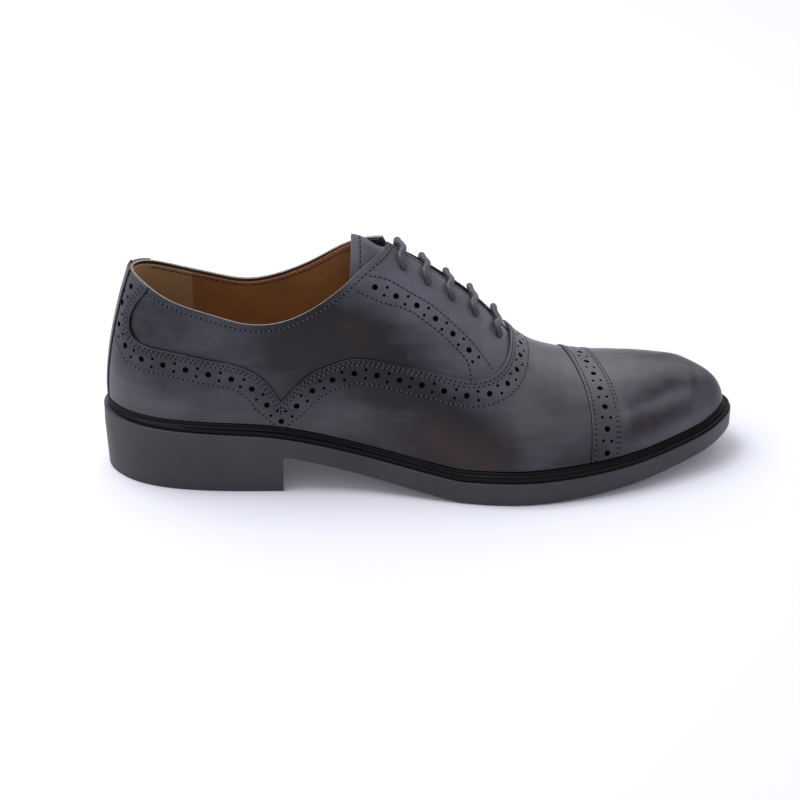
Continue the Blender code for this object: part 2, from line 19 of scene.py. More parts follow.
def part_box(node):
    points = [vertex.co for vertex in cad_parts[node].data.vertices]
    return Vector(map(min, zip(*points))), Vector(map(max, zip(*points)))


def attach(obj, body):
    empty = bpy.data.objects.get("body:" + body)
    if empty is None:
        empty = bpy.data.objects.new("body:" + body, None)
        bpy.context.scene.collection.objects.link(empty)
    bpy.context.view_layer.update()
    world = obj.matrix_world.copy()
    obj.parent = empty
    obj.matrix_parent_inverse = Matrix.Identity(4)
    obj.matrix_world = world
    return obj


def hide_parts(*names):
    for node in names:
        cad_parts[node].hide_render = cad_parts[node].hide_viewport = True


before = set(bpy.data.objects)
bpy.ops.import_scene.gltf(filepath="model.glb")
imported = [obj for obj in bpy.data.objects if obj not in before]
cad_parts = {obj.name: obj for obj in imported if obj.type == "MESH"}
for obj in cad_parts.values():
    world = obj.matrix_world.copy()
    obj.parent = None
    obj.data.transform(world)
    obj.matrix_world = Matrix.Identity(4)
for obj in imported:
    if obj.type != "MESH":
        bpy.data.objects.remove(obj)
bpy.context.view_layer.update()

bl_info = {
    "name": "Brogue Shoe",
    "version": (1, 0, 0),
    "blender": (4, 5, 0),
    "location": "3D View > Sidebar > Shoe",
    "description": "Burnished leather, seams, perforations, lace and studio for a brogue shoe",
    "category": "Add Mesh",
}

MM = 0.001
TURN = 2 * math.pi
LATERAL, MEDIAL = -1, 1

# Sizes that the solids give
SOLE_LOW, SOLE_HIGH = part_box("outsole")
SOLE_LENGTH = SOLE_HIGH.x - SOLE_LOW.x
HEEL_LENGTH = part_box("heel")[1].x - SOLE_LOW.x
STRIP_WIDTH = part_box("back_strip")[1].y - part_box("back_strip")[0].y

# Sizes of the last and its pieces
BALL_WIDTH = 106 * MM
SOLE_THICKNESS = 11.6 * MM
HEEL_SEAT = 22.2 * MM
HEEL_TAPER = 1.2 * MM
SOLE_ROUNDING = 1.2 * MM
HEEL_ROUNDING = 0.4 * MM
TOP_BEVEL = 0.3 * MM
TOE_SPRING = 12.5 * MM
INSTEP_HEIGHT = 110 * MM
BACK_HEIGHT = 101 * MM
WALL = 2.0 * MM
MARGIN_BACK = 3.8 * MM
MARGIN_SIDE = 5.3 * MM
MARGIN_TOE = 5.6 * MM
THROAT_TOP = 134.6 * MM
THROAT_END = 192 * MM
THROAT_GAP_TOP = 4.6 * MM
THROAT_GAP_END = 1.2 * MM
WELT_THICKNESS = 2.0 * MM
WELT_STEP = 0.9 * MM
# The rand is a black band at the upper's foot, partly a rand and partly painted shade under the
# upper
RAND_HEIGHT = 4.0 * MM
RAND_THICKNESS = 1.5 * MM
RAND_CLEARANCE = 0.5 * MM
INSOLE_THICKNESS = 3.0 * MM
INSOLE_BEVEL = 0.6 * MM
QUARTER_LEATHER = 1.2 * MM
LINING_DEPTH = 1.25 * MM
LINING_THICKNESS = 0.7 * MM
LINING_BELOW_RIM = 0.011
TONGUE_THICKNESS = 1.6 * MM
TONGUE_BACK = 118 * MM
TONGUE_FRONT = 208 * MM
TONGUE_WIDTH_BACK = 46 * MM
TONGUE_WIDTH_FRONT = 24 * MM
TONGUE_DEPTH = 26 * MM
TONGUE_DROP = 8 * MM
TONGUE_BEND = 10 * MM
TONGUE_TIP = 1.6 * MM
TONGUE_LEAN = 0.17
TONGUE_LEAN_REACH = 20 * MM
TONGUE_SAG_AHEAD = 3 * MM
TONGUE_SAG_REACH = 7 * MM
TONGUE_CLEARANCE = 0.7 * MM
GALOSH_THICKNESS = 0.8 * MM
CAP_THICKNESS = 1.4 * MM
STRIP_THICKNESS = 1.2 * MM
LACE_DIAMETER = 3.1 * MM
LACE_BARS = 5
LACE_FIRST = 139.6 * MM
LACE_LAST = 184.8 * MM
EYELET_SPREAD = 27 * MM
LACE_SKEW = 1.2 * MM
LACE_OVER = 0.9 * MM
LACE_UNDER = 1.6 * MM
LACE_PAST_END = 0.1
LACE_SAG_REACH = 0.12
LACE_SIDES = 14
LACE_POINTS = 41
GAP = 0.3 * MM

# Fineness of the meshes; columns run from the heel's back to its breast, to the throat's top, to
# its end and to the toe
COLUMNS = (46, 28, 36, 62)
ROWS = 52
LINING_COLUMNS = (26, 16, 20, 34)
LINING_ROWS = 34
TONGUE_COLUMNS = 44
TONGUE_ROWS = 22
CREST_ROWS = 4
CREST_PASSES = 8
TREE_COLUMNS = 601
TREE_ROWS = 181
CLIMB_SWEEP = 201
SWEEP = 2001
HALVINGS = 10
WELD = 0.01 * MM
ROUNDING_ERROR = 1e-9
SHARP_ANGLE = math.radians(38)

# Outline of the sole: share of its length, lateral and medial half width as shares of half the
# ball width
OUTLINE = (
    (0.00, 0.000, 0.000),
    (0.02, 0.300, 0.295),
    (0.05, 0.460, 0.450),
    (0.10, 0.587, 0.582),
    (0.15, 0.645, 0.640),
    (0.20, 0.672, 0.655),
    (0.30, 0.690, 0.605),
    (0.40, 0.735, 0.515),
    (0.50, 0.870, 0.570),
    (0.60, 0.998, 0.810),
    (0.65, 1.018, 0.915),
    (0.70, 0.990, 0.982),
    (0.75, 0.930, 1.000),
    (0.80, 0.845, 0.960),
    (0.85, 0.725, 0.860),
    (0.90, 0.565, 0.710),
    (0.95, 0.382, 0.540),
    (0.98, 0.200, 0.345),
    (1.00, -0.070, 0.070),
)

# Underside of the sole behind the flat tread: share of length, height as a share of the heel seat
ARCH = (
    (0.000, 1.000),
    (0.197, 0.935),
    (0.263, 0.870),
    (0.362, 0.580),
    (0.460, 0.260),
    (0.530, 0.060),
    (0.565, 0.000),
)
ARCH_SLOPE = -0.25
TREAD_END = 0.64
SPRING_POWER = 1.9

# Thickness of the sole: share of length, share of the thickness at the ball
THICKNESS = (
    (0.00, 0.85),
    (0.30, 0.85),
    (0.50, 0.95),
    (0.65, 1.00),
    (0.90, 0.85),
    (1.00, 0.80),
)

# Strip of sole left showing outside the upper: share of length, back, side and toe parts
MARGIN = (
    (0.00, 1.0, 0.0, 0.0),
    (0.12, 0.1, 0.9, 0.0),
    (0.50, 0.0, 1.0, 0.0),
    (0.85, 0.0, 1.0, 0.0),
    (1.00, 0.0, 0.0, 1.0),
)

# Crown line of the last: share of length, height as a share of the instep height, shift to the
# medial side as a share of half the ball width
CROWN = (
    (0.10, 1.260, 0.00),
    (0.20, 1.330, 0.01),
    (0.30, 1.290, 0.03),
    (0.38, 1.165, 0.05),
    (0.46, 1.010, 0.06),
    (0.54, 0.842, 0.06),
    (0.60, 0.697, 0.06),
    (0.66, 0.518, 0.06),
    (0.70, 0.460, 0.06),
    (0.78, 0.398, 0.07),
    (0.86, 0.392, 0.07),
)

# Zones where the columns lean together at the crown: from the first share of length to the second
HEEL_ZONE = (0.30, 0.00)
TOE_ZONE = (0.74, 0.96)

# Sections of the last: share of length, swell outwards on the lateral and the medial side and its
# height, shoulder outwards on both sides and its height, width of the roof. Widths are shares of
# half the ball width, heights are shares of the height from the sole to the crown.
SECTIONS = (
    (0.00, 0.064, 0.064, 0.20, -0.140, -0.140, 0.55, 0.50),
    (0.08, 0.057, 0.057, 0.20, -0.104, -0.104, 0.55, 0.49),
    (0.20, 0.047, 0.038, 0.20, -0.075, -0.075, 0.55, 0.45),
    (0.35, 0.038, 0.019, 0.22, -0.094, -0.113, 0.58, 0.40),
    (0.50, 0.028, 0.038, 0.26, -0.151, -0.132, 0.64, 0.38),
    (0.62, 0.028, 0.038, 0.30, -0.189, -0.170, 0.68, 0.40),
    (0.75, 0.028, 0.028, 0.34, -0.170, -0.208, 0.78, 0.46),
    (0.88, 0.019, 0.019, 0.40, -0.094, -0.113, 0.92, 0.60),
    (1.00, 0.009, 0.009, 0.42, -0.075, -0.075, 0.91, 0.65),
)

# Edge of the collar: share of length, lateral and medial height as shares of the back height
COLLAR = (
    (0.030, 1.020, 1.020),
    (0.060, 1.000, 1.000),
    (0.100, 0.940, 0.945),
    (0.145, 0.893, 0.888),
    (0.185, 0.860, 0.850),
    (0.225, 0.828, 0.828),
    (0.255, 0.822, 0.840),
    (0.285, 0.834, 0.873),
    (0.315, 0.865, 0.920),
    (0.345, 0.912, 0.980),
    (0.375, 0.972, 1.045),
    (0.405, 1.040, 1.090),
    (0.446, 1.110, 1.118),
)

# Upper edge of the galosh in side view, back of the notch and front of it: share of length, height
# as a share of the back height
GALOSH_BACK = (
    (0.092, 1.060),
    (0.075, 0.948),
    (0.059, 0.878),
    (0.050, 0.815),
    (0.049, 0.760),
    (0.059, 0.716),
    (0.078, 0.697),
    (0.106, 0.689),
    (0.140, 0.675),
    (0.174, 0.656),
    (0.207, 0.637),
    (0.233, 0.607),
    (0.257, 0.550),
    (0.279, 0.450),
)
GALOSH_FRONT = (
    (0.279, 0.450),
    (0.301, 0.526),
    (0.327, 0.588),
    (0.355, 0.625),
    (0.386, 0.652),
    (0.418, 0.650),
    (0.465, 0.625),
    (0.520, 0.590),
    (0.570, 0.555),
    (0.592, 0.554),
    (0.613, 0.568),
    (0.631, 0.598),
    (0.641, 0.640),
    (0.647, 0.720),
)

# Back edge of the toe cap in plan: share of half the ball width towards the medial side, share of
# length
CAP_EDGE = (
    (-1.10, 0.752),
    (-0.60, 0.760),
    (-0.20, 0.750),
    (0.20, 0.736),
    (0.60, 0.726),
    (1.10, 0.722),
)

# Stitch rows of the facing's perforated band in side view, upper and lower: share of length,
# height as a share of the back height
FACING_UPPER = (
    (0.418, 1.010),
    (0.444, 0.989),
    (0.471, 0.941),
    (0.513, 0.863),
    (0.541, 0.793),
    (0.569, 0.717),
    (0.589, 0.650),
    (0.604, 0.590),
)
FACING_LOWER = (
    (0.400, 0.950),
    (0.442, 0.892),
    (0.471, 0.865),
    (0.502, 0.806),
    (0.526, 0.752),
    (0.548, 0.691),
    (0.566, 0.632),
    (0.571, 0.560),
)

# Colour on both sides in soft lines seen from the side: partly the hand-rubbed polish's patina,
# darker and red-brown, and partly painted light, where a line that lightens paints a highlight
# and the narrow lines on the toe cap paint a reflection. Each runs from a place along and a
# height to another, as shares of length and back height, with a reach as a share of length,
# darkening, red-brown warmth and tan tint
PATINA_AND_PAINTED_LIGHT = (
    (0.30, 0.62, 0.46, 0.64, 0.075, 0.38, 0.00, 0.0),
    (0.34, 0.82, 0.41, 0.74, 0.050, 0.25, 0.10, 0.0),
    (0.27, 0.70, 0.40, 0.75, 0.045, 0.10, 0.60, 0.0),
    (0.08, 0.84, 0.10, 0.58, 0.035, 0.22, 0.00, 0.0),
    # Painted highlights on the facing and on the tongue
    (0.48, 0.99, 0.60, 0.74, 0.060, -0.90, 0.00, 0.0),
    (0.38, 1.16, 0.40, 1.04, 0.034, -0.85, 0.00, 0.0),
    # Painted highlight on the vamp by the cap
    (0.66, 0.47, 0.78, 0.42, 0.055, -0.40, 0.00, 0.8),
    (0.46, 0.36, 0.57, 0.27, 0.070, 0.42, 0.30, 0.0),
    (0.52, 0.26, 0.60, 0.22, 0.042, 0.10, 1.10, 0.0),
    (0.65, 0.38, 0.68, 0.24, 0.035, -0.35, 0.00, 0.3),
    # Painted highlights along the galosh's side and on the heel counter
    (0.10, 0.40, 0.24, 0.37, 0.035, -0.35, 0.00, 0.8),
    (0.32, 0.36, 0.42, 0.36, 0.035, -0.38, 0.05, 0.8),
    (0.03, 0.45, 0.06, 0.38, 0.030, -0.25, 0.00, 0.5),
    (0.72, 0.18, 0.80, 0.24, 0.045, 0.34, 0.00, 0.0),
    # Painted reflection on the toe cap: a dark streak over a light ridge
    (0.820, 0.378, 0.890, 0.413, 0.0065, 0.60, 0.10, 0.0),
    (0.900, 0.411, 0.932, 0.405, 0.0065, 0.50, 0.00, 0.0),
    (0.817, 0.350, 0.915, 0.378, 0.011, -0.75, 0.00, 0.2),
    (0.832, 0.315, 0.912, 0.330, 0.017, 0.42, 0.70, 0.0),
    (0.80, 0.222, 0.95, 0.255, 0.020, -0.45, 0.00, 0.0),
    (0.97, 0.30, 0.97, 0.20, 0.030, 0.25, 0.00, 0.0),
)

# Soft creases on both sides, laid out as the patina and painted light: ends, reach, and depth in
# millimetres, less than nothing for a ridge
CREASES = (
    (0.820, 0.378, 0.890, 0.413, 0.007, 0.25),
    (0.817, 0.350, 0.915, 0.378, 0.011, -0.30),
)

# Seen from the camera, in millimetres from the heel's back on the floor
VIEW_AIM = 141.24
VIEW_RISE = 25.56
VIEW_DISTANCE = 1193.14
VIEW_SCALE = 2.06
VIEW_SIDE = math.radians(3.0)
VIEW_ELEVATION = math.radians(27.95)
VIEW_ROLL = math.radians(0.37)
PHOTO_WIDTH = 800
SENSOR = 36

# Sewn band of the galosh, from its edge to its lower stitch row; below the notch its holes and the
# lower row come to a point at these depths
GALOSH_BAND = 11.6 * MM
NOTCH_REACH = 11 * MM
NOTCH_HOLES = 9.4 * MM
NOTCH_SEAM = 14.2 * MM

# Extra strip of sole that shows behind the heel's welt
LEDGE = 1.0 * MM

# Welt's top: share of the way from the rand to the edge, and rise in millimetres
WELT_TOP = ((0.66, 0), (0.5, -0.1), (0.34, 0.05), (0.12, 0.3))

# Rand's face: way down from its top in millimetres, and share of its thickness
RAND_FACE = ((1.1, 1), (0.5, 0.88), (0.12, 0.6), (0, 0.3), (0, 0))

# Stitches along the welt: where they start as a share of length, pitch, and size beside a seam's
WELT_SEAM_START = 0.42
WELT_PITCH = 3.4 * MM
WELT_STITCH = (1.6, 1.5, 1.3)

# Rows of holes: free lengths at the start and the end, in steps from a hole to the next pair, and
# 1 where the row ends with a pair
FACING_HOLES = (0.98, 0.41, 1)
GALOSH_SIDE_HOLES = (0.6, 1, 1)
GALOSH_OVER_HOLES = (0, 0, 0)
CAP_HOLES = (0.5, 0.5, 0)

# How deep the punches go: into the facings, at the lace holes, and as a share of an overlay
FACING_PUNCH = 0.8 * MM
EYELET_PUNCH = 1.6 * MM
OVERLAY_PUNCH = 0.7

# Stitch rows' distances from the edge that they follow
GALOSH_SEAMS = (1.3 * MM, 2.8 * MM)
CAP_SEAMS = (1.4 * MM, 11.8 * MM, 13.3 * MM)
COLLAR_SEAM = 3.0 * MM
THROAT_SEAM = 1.3 * MM
CAP_HOLE_ROW = 6.9 * MM
GALOSH_HOLE_ROW = 0.58 * GALOSH_BAND
THREAD_LIFT = 0.02 * MM

# Where seams and rolled edges stop below the collar's edge, and the rows along collar and throat
ROW_BELOW_RIM = 1.5 * MM
BEAD_BELOW_RIM = 0.5 * MM
INK_BELOW_RIM = 1.0 * MM
COLLAR_SEAM_START = 24 * MM
THROAT_SEAM_END = THROAT_END - 2 * MM

# Rolled edges of the overlays and inked grooves beside the back strip
EDGE_RADIUS = 0.42 * MM
EDGE_SINK = 0.2 * MM
EDGE_INSET = 0.25 * MM
INK_RADIUS = 0.5 * MM
INK_SINK = 0.4 * MM
INK_ASIDE = 0.1 * MM
INK_POINTS = 40
BEAD_SIDES = 10

# Points along lines that the tables draw
GALOSH_STEPS = 70
GALOSH_FRONT_STEPS = 110
GALOSH_OVER_STEPS = 240
GALOSH_CUT_STEPS = 90
CAP_STEPS = 160
FACING_STEPS = CAP_CUT_STEPS = LACE_STEPS = 60

# Softboxes: name, place, size and power, in metres and watts; all face the middle of the shoe
SOFTBOXES = (
    ("Key softbox", (-0.45, 0.12, 1.15), (1.1, 0.9), 15),
    ("Back softbox", (0.4, 1.3, 1.0), (1.8, 0.8), 5),
)
LIGHT_AIM = (0, 0, 0.04)
SKY = (0.93, 0.95, 1, 1)
SKY_STRENGTH = 0.7
FLOOR_SIZE = 4
VIEW_NEAR = 0.05

# Front edge of the suede heel grip, and where the lining turns from tan to dark, ahead of it
GRIP_FRONT = 43 * MM
FACING_BACK = 118.5 * MM

# Sag of the lace bars into the throat as a share of its half gap, sag of the tongue, and the bars'
# sway: share from eyelet to eyelet, millimetres towards the toe
LACE_SAG = 0.34
TONGUE_SAG = 3.0 * MM
LACE_SWAY = (
    (-0.50, 0.9),
    (-0.42, -0.7),
    (-0.28, 0.2),
    (-0.13, 1.5),
    (0.00, 0.7),
    (0.14, -0.5),
    (0.32, -0.3),
    (0.50, 0.5),
)


def linear(code):
    """Linear colour of an sRGB hex code."""
    parts = [int(code[i:i + 2], 16) / 255 for i in (0, 2, 4)]
    return [p / 12.92 if p <= 0.04045 else ((p + 0.055) / 1.055) ** 2.4 for p in parts]


def spline(knots, values, at, slopes=None, period=None):
    """Cubic spline through a table column: natural, with given end slopes, or closed."""
    knots = np.asarray(knots, float)
    values = np.asarray(values, float)
    if period:
        knots = np.append(knots, knots[0] + period)
        values = np.append(values, values[0])
    step = np.diff(knots)
    rise = np.diff(values) / step
    count = len(knots)
    matrix = np.zeros((count, count))
    right = np.zeros(count)
    for i in range(1, count - 1):
        matrix[i, i - 1:i + 2] = step[i - 1], 2 * (step[i - 1] + step[i]), step[i]
        right[i] = 6 * (rise[i] - rise[i - 1])
    if period:
        matrix[0, 0], matrix[0, -1] = 1, -1
        matrix[-1, :2] = 2 * step[0], step[0]
        matrix[-1, -2:] = step[-1], 2 * step[-1]
        right[-1] = 6 * (rise[0] - rise[-1])
    elif slopes:
        matrix[0, :2] = 2 * step[0], step[0]
        matrix[-1, -2:] = step[-1], 2 * step[-1]
        right[0] = 6 * (rise[0] - slopes[0])
        right[-1] = 6 * (slopes[1] - rise[-1])
    else:
        matrix[0, 0] = matrix[-1, -1] = 1
    bend = np.linalg.solve(matrix, right)
    at = np.asarray(at, float)
    if period:
        at = knots[0] + (at - knots[0]) % period
    i = np.clip(np.searchsorted(knots, at, side="right") - 1, 0, count - 2)
    left, ahead, width = at - knots[i], knots[i + 1] - at, step[i]
    return (
        (bend[i] * ahead**3 + bend[i + 1] * left**3) / (6 * width)
        + (values[i] / width - bend[i] * width / 6) * ahead
        + (values[i + 1] / width - bend[i + 1] * width / 6) * left
    )


def unit(vectors):
    """Vectors brought to a length of one."""
    return vectors / np.linalg.norm(vectors, axis=-1, keepdims=True)


def column_of(table, index):
    """One column of a table."""
    return [row[index] for row in table]


def run_along(points):
    """Distance run along a line of points, at each point."""
    return np.append(0, np.cumsum(np.linalg.norm(np.diff(points, axis=0), axis=1)))


def table_at(table, at, index=1, slopes=None):
    """A column of a table read between its rows, by the first column."""
    return spline(column_of(table, 0), column_of(table, index), at, slopes=slopes)


def smooth_path(points, steps):
    """Natural spline through points, read at even steps."""
    points = np.asarray(points, float)
    run = run_along(points)
    at = np.linspace(0, run[-1], steps)
    return np.stack([spline(run, points[:, i], at) for i in range(points.shape[1])], 1)


def round_shoe(table, lateral, medial, turn, mirror=1):
    """A table's lateral and medial columns read as one closed curve round the shoe."""
    ahead = [math.acos(1 - 2 * share) for share in column_of(table, 0)]
    knots = ahead + [TURN - place for place in ahead[-2:0:-1]]
    values = [mirror * value for value in column_of(table, lateral)]
    values += column_of(table, medial)[-2:0:-1]
    return spline(knots, values, turn, period=TURN)


def sole_edge(turn):
    """Plan of the sole's edge, (x, y) at each turn, from the heel's back."""
    x = SOLE_LENGTH * (1 - np.cos(turn)) / 2
    y = BALL_WIDTH / 2 * round_shoe(OUTLINE, 1, 2, turn, mirror=-1)
    return np.stack([x, y], -1)


def outward(turn):
    """Unit direction out of the sole's edge, in plan."""
    reach = 0.001
    along = sole_edge(turn + reach) - sole_edge(turn - reach)
    across = np.stack([along[..., 1], -along[..., 0]], -1)
    return unit(across)


def tread(x):
    """Height of the sole's underside: heel seat, arch, flat tread and toe spring."""
    share = np.asarray(x, float) / SOLE_LENGTH
    flat = ARCH[-1][0]
    behind = np.clip(share, 0, flat)
    arch = table_at(ARCH, behind, slopes=(ARCH_SLOPE, 0))
    toe = (np.clip(share - TREAD_END, 0, None) / (1 - TREAD_END)) ** SPRING_POWER
    return np.where(share < flat, HEEL_SEAT * arch, TOE_SPRING * toe)


def seat(x):
    """Height of the sole's top face."""
    share = np.clip(np.asarray(x, float) / SOLE_LENGTH, 0, 1)
    return tread(x) + SOLE_THICKNESS * table_at(THICKNESS, share)


def margin(turn):
    """Width of the strip of sole that shows outside the upper."""
    parts = [round_shoe(MARGIN, i, i, turn) for i in (1, 2, 3)]
    return MARGIN_BACK * parts[0] + MARGIN_SIDE * parts[1] + MARGIN_TOE * parts[2]


def feather(turn, inset=0.0):
    """Plan of the upper's lower edge, moved inwards by the inset."""
    return sole_edge(turn) - outward(turn) * (margin(turn) + inset)[..., None]


def crown(x):
    """Point of the crown line over each x."""
    share = np.asarray(x, float) / SOLE_LENGTH
    z = INSTEP_HEIGHT * table_at(CROWN, share)
    y = BALL_WIDTH / 2 * table_at(CROWN, share, 2)
    return np.stack([np.asarray(x, float), y, z], -1)


def crown_reach(turn):
    """Where on the crown line each column ends; they gather at the heel and at the toe."""
    share = (1 - np.cos(turn)) / 2
    reach = share
    for start, end in (HEEL_ZONE, TOE_ZONE):
        into = np.clip((share - start) / (end - start), 0, None)
        gathered = start + (end - start) * (into - into**2 / 2)
        at_pole = start + (end - start) / 2
        reach = np.where(into > 0, np.where(into < 1, gathered, at_pole), reach)
    return SOLE_LENGTH * reach


def turn_of_crown(x):
    """Lateral turn of the column that ends on the crown line at x."""
    fine = np.linspace(0, math.pi, SWEEP)
    return np.interp(x, crown_reach(fine), fine)


def wall(turn, climb):
    """Outer face of the upper, from the heel's back."""
    turn = np.asarray(turn, float)
    climb = np.asarray(climb, float)[..., None]
    foot = feather(turn)
    out = outward(turn) * (BALL_WIDTH / 2)
    top = crown(crown_reach(turn))
    base = seat(foot[..., 0]) + GAP
    height = top[..., 2] - base

    def part(lateral, medial):
        return round_shoe(SECTIONS, lateral, medial, turn)[..., None]

    level = (base, base + height * part(3, 3)[..., 0], base + height * part(6, 6)[..., 0])
    roof = top[..., :2] + (foot - top[..., :2]) * part(7, 7)
    plan = (foot, foot + out * part(1, 2), foot + out * part(4, 5))
    points = [np.concatenate([p, z[..., None]], -1) for p, z in zip(plan, level)]
    points += [np.concatenate([roof, top[..., 2:]], -1), top]
    order = len(points) - 1
    return sum(
        math.comb(order, i) * climb**i * (1 - climb) ** (order - i) * point
        for i, point in enumerate(points)
    )


def wall_columns(turn, climb):
    """The wall at a grid of climbs, one row of them for each turn."""
    return wall(turn[:, None] + 0 * climb, climb)


def wall_normal(turn, climb):
    """Unit direction out of the upper's outer face."""
    reach = 0.002
    climb = np.clip(climb, reach, 1 - reach)
    round_it = wall(turn + reach, climb) - wall(turn - reach, climb)
    up_it = wall(turn, climb + reach) - wall(turn, climb - reach)
    return unit(np.cross(round_it, up_it))


def first_climb(turn, reached):
    """Lowest climb of each turn's wall where the test reached(points, side) holds, else 1."""
    steps = np.linspace(0, 1, CLIMB_SWEEP)
    side = (turn > math.pi)[:, None]
    held = reached(wall_columns(turn, steps + 0 * turn[:, None]), side)
    held[:, -1] = True
    high = steps[held.argmax(1)]
    low = np.clip(high - steps[1], 0, 1)
    for _ in range(HALVINGS):
        middle = (low + high) / 2
        over = reached(wall_columns(turn, middle[:, None]), side)[:, 0]
        high = np.where(over, middle, high)
        low = np.where(over, low, middle)
    return high


def rim_height(points, medial):
    """Height of the collar's edge over points, on the lateral or the medial side."""
    share = np.clip(points[..., 0] / SOLE_LENGTH, COLLAR[0][0], COLLAR[-1][0])
    return BACK_HEIGHT * np.where(medial, table_at(COLLAR, share, 2), table_at(COLLAR, share))


def rim_reached(points, medial):
    """True above the collar's edge, and inside the throat's gap."""
    over = points[..., 2] >= rim_height(points, medial)
    x = points[..., 0]
    edge = 0.1 * MM
    aside = np.abs(points[..., 1] - crown(x)[..., 1])
    ahead = x > THROAT_TOP - edge
    in_throat = ahead & (x < THROAT_END + edge) & (aside <= half_gap(x))
    return (over & ~ahead) | in_throat


def half_gap(x):
    """Half width of the throat between the facings."""
    along = (x - THROAT_TOP) / (THROAT_END - THROAT_TOP)
    return THROAT_GAP_TOP + (THROAT_GAP_END - THROAT_GAP_TOP) * along


def turns_round(columns=COLUMNS):
    """Turns of the columns, with one at the heel breast and at both ends of the throat."""
    fine = np.linspace(0, math.pi, SWEEP)
    run = run_along(sole_edge(fine))
    x = crown_reach(fine)
    marks = [0, np.interp(HEEL_LENGTH, sole_edge(fine)[:, 0], fine)]
    marks += [np.interp(THROAT_TOP, x, fine), np.interp(THROAT_END, x, fine), math.pi]
    lateral = [0.0]
    for start, end, count in zip(marks, marks[1:], columns):
        lengths = np.interp([start, end], fine, run)
        lateral += list(np.interp(np.linspace(*lengths, count + 1)[1:], run, fine))
    return np.array(lateral + [TURN - place for place in lateral[-2::-1]])


@functools.cache
def centre():
    """Centre of the sole's plan, which is the frame's origin."""
    edge = sole_edge(np.linspace(0, TURN, SWEEP))
    return np.append((edge.min(0) + edge.max(0)) / 2, 0)


@functools.cache
def rim_climb(columns=COLUMNS):
    """Turns of the columns and the climb of the collar's or throat's edge on each."""
    turn = turns_round(columns)
    rim = first_climb(turn, rim_reached)
    rim[-1] = rim[0]
    return turn, rim


def last_surface(columns=COLUMNS, rows=ROWS, below_rim=0.0):
    """Grid of points on the upper's outer face: foot, top of the rand, and on up to the rim."""
    turn, rim = rim_climb(columns)
    rand_top = seat(feather(turn)[:, 0]) + GAP + RAND_HEIGHT + RAND_CLEARANCE
    low = first_climb(turn, lambda points, medial: points[..., 2] >= rand_top[:, None])
    climb = low[:, None] + (rim - below_rim - low)[:, None] * np.linspace(0, 1, rows)
    climb = np.concatenate([0 * low[:, None], climb], 1)
    return wall_columns(turn, climb)


def grid_shape(points, closed=False):
    """Grid bent to points given from the heel's back, with the edges that meet welded.

    Its UV map holds the column and the row as shares. A closed grid is also joined across."""
    columns, rows = points.shape[:2]
    if closed:
        points = np.concatenate([points, points[:, :1]], 1)
        rows += 1
    places = points - centre()
    shape = bmesh.new()
    bmesh.ops.create_grid(shape, x_segments=columns - 1, y_segments=rows - 1, size=1)
    layer = shape.loops.layers.uv.new("UVMap")
    for face in shape.faces:
        for loop in face.loops:
            loop[layer].uv = ((loop.vert.co.x + 1) / 2, (loop.vert.co.y + 1) / 2)
    for vert in shape.verts:
        column = round((vert.co.x + 1) / 2 * (columns - 1))
        row = round((vert.co.y + 1) / 2 * (rows - 1))
        vert.co = places[column, row]
    bmesh.ops.remove_doubles(shape, verts=shape.verts, dist=WELD)
    bmesh.ops.dissolve_degenerate(shape, edges=shape.edges, dist=WELD)
    shape.normal_update()
    return shape


def push(shape, distance):
    """Moves a shape's vertices along their normals."""
    moved = [vert.co + vert.normal * distance for vert in shape.verts]
    for vert, place in zip(shape.verts, moved):
        vert.co = place
    shape.normal_update()
    return shape


def add_piece(name, shape, materials):
    """Object of a finished shape, smooth but for its sharp edges."""
    mesh = bpy.data.meshes.new(name)
    shape.to_mesh(mesh)
    shape.free()
    mesh.shade_smooth()
    mesh.set_sharp_from_angle(angle=SHARP_ANGLE)
    piece = bpy.data.objects.new(name, mesh)
    bpy.context.scene.collection.objects.link(piece)
    for material in materials:
        mesh.materials.append(material)
    return piece


def add_shell(piece, thickness, outwards, inner=0, rim=0):
    """Wall on an open surface; inner and rim step to later materials."""
    shell = piece.modifiers.new("Wall", "SOLIDIFY")
    shell.thickness = thickness
    shell.offset = 1 if outwards else -1
    shell.use_quality_normals = True
    shell.material_offset = inner
    shell.material_offset_rim = rim


def add_cut(piece, cutter, operation):
    """Exact cut of a piece with another object's mesh, which it gives back."""
    cut = piece.modifiers.new("Cut", "BOOLEAN")
    cut.operation = operation
    cut.solver = "EXACT"
    cut.material_mode = "INDEX"
    cut.object = cutter
    return cutter


def settle_piece(piece, cutters=()):
    """Applies a piece's modifiers and removes what cut it."""
    graph = bpy.context.evaluated_depsgraph_get()
    mesh = bpy.data.meshes.new_from_object(piece.evaluated_get(graph))
    old = piece.data
    piece.modifiers.clear()
    piece.data = mesh
    bpy.data.meshes.remove(old)
    mesh.name = piece.name
    mesh.shade_smooth()
    mesh.set_sharp_from_angle(angle=SHARP_ANGLE)
    for cutter in cutters:
        bpy.data.objects.remove(cutter)


def dress(piece, slot, *nodes):
    """Fixes a finished piece to the shoe in place of CAD nodes; the slot is not used."""
    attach(piece, "root")
    if nodes:
        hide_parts(*nodes)


def dress_leather(piece, cutters, node):
    """Settles a leather piece, stores its patina and painted light, and fixes it in place of a CAD
    node.
    """
    settle_piece(piece, cutters)
    store_patina_and_painted_light(piece)
    dress(piece, "polished_leather", node)


def near_line(places, along, height, to_along, to_height, reach):
    """How near places are to a line seen from the side: 1 on it, fading to 0 past its reach."""
    start = np.array([along * SOLE_LENGTH, height * BACK_HEIGHT])
    way = np.array([to_along * SOLE_LENGTH, to_height * BACK_HEIGHT]) - start
    away = places[:, [0, 2]] - start
    share = np.clip(away @ way / (way @ way), 0, 1)
    away = away - share[:, None] * way
    return np.exp(-(away**2).sum(1) / (reach * SOLE_LENGTH) ** 2)


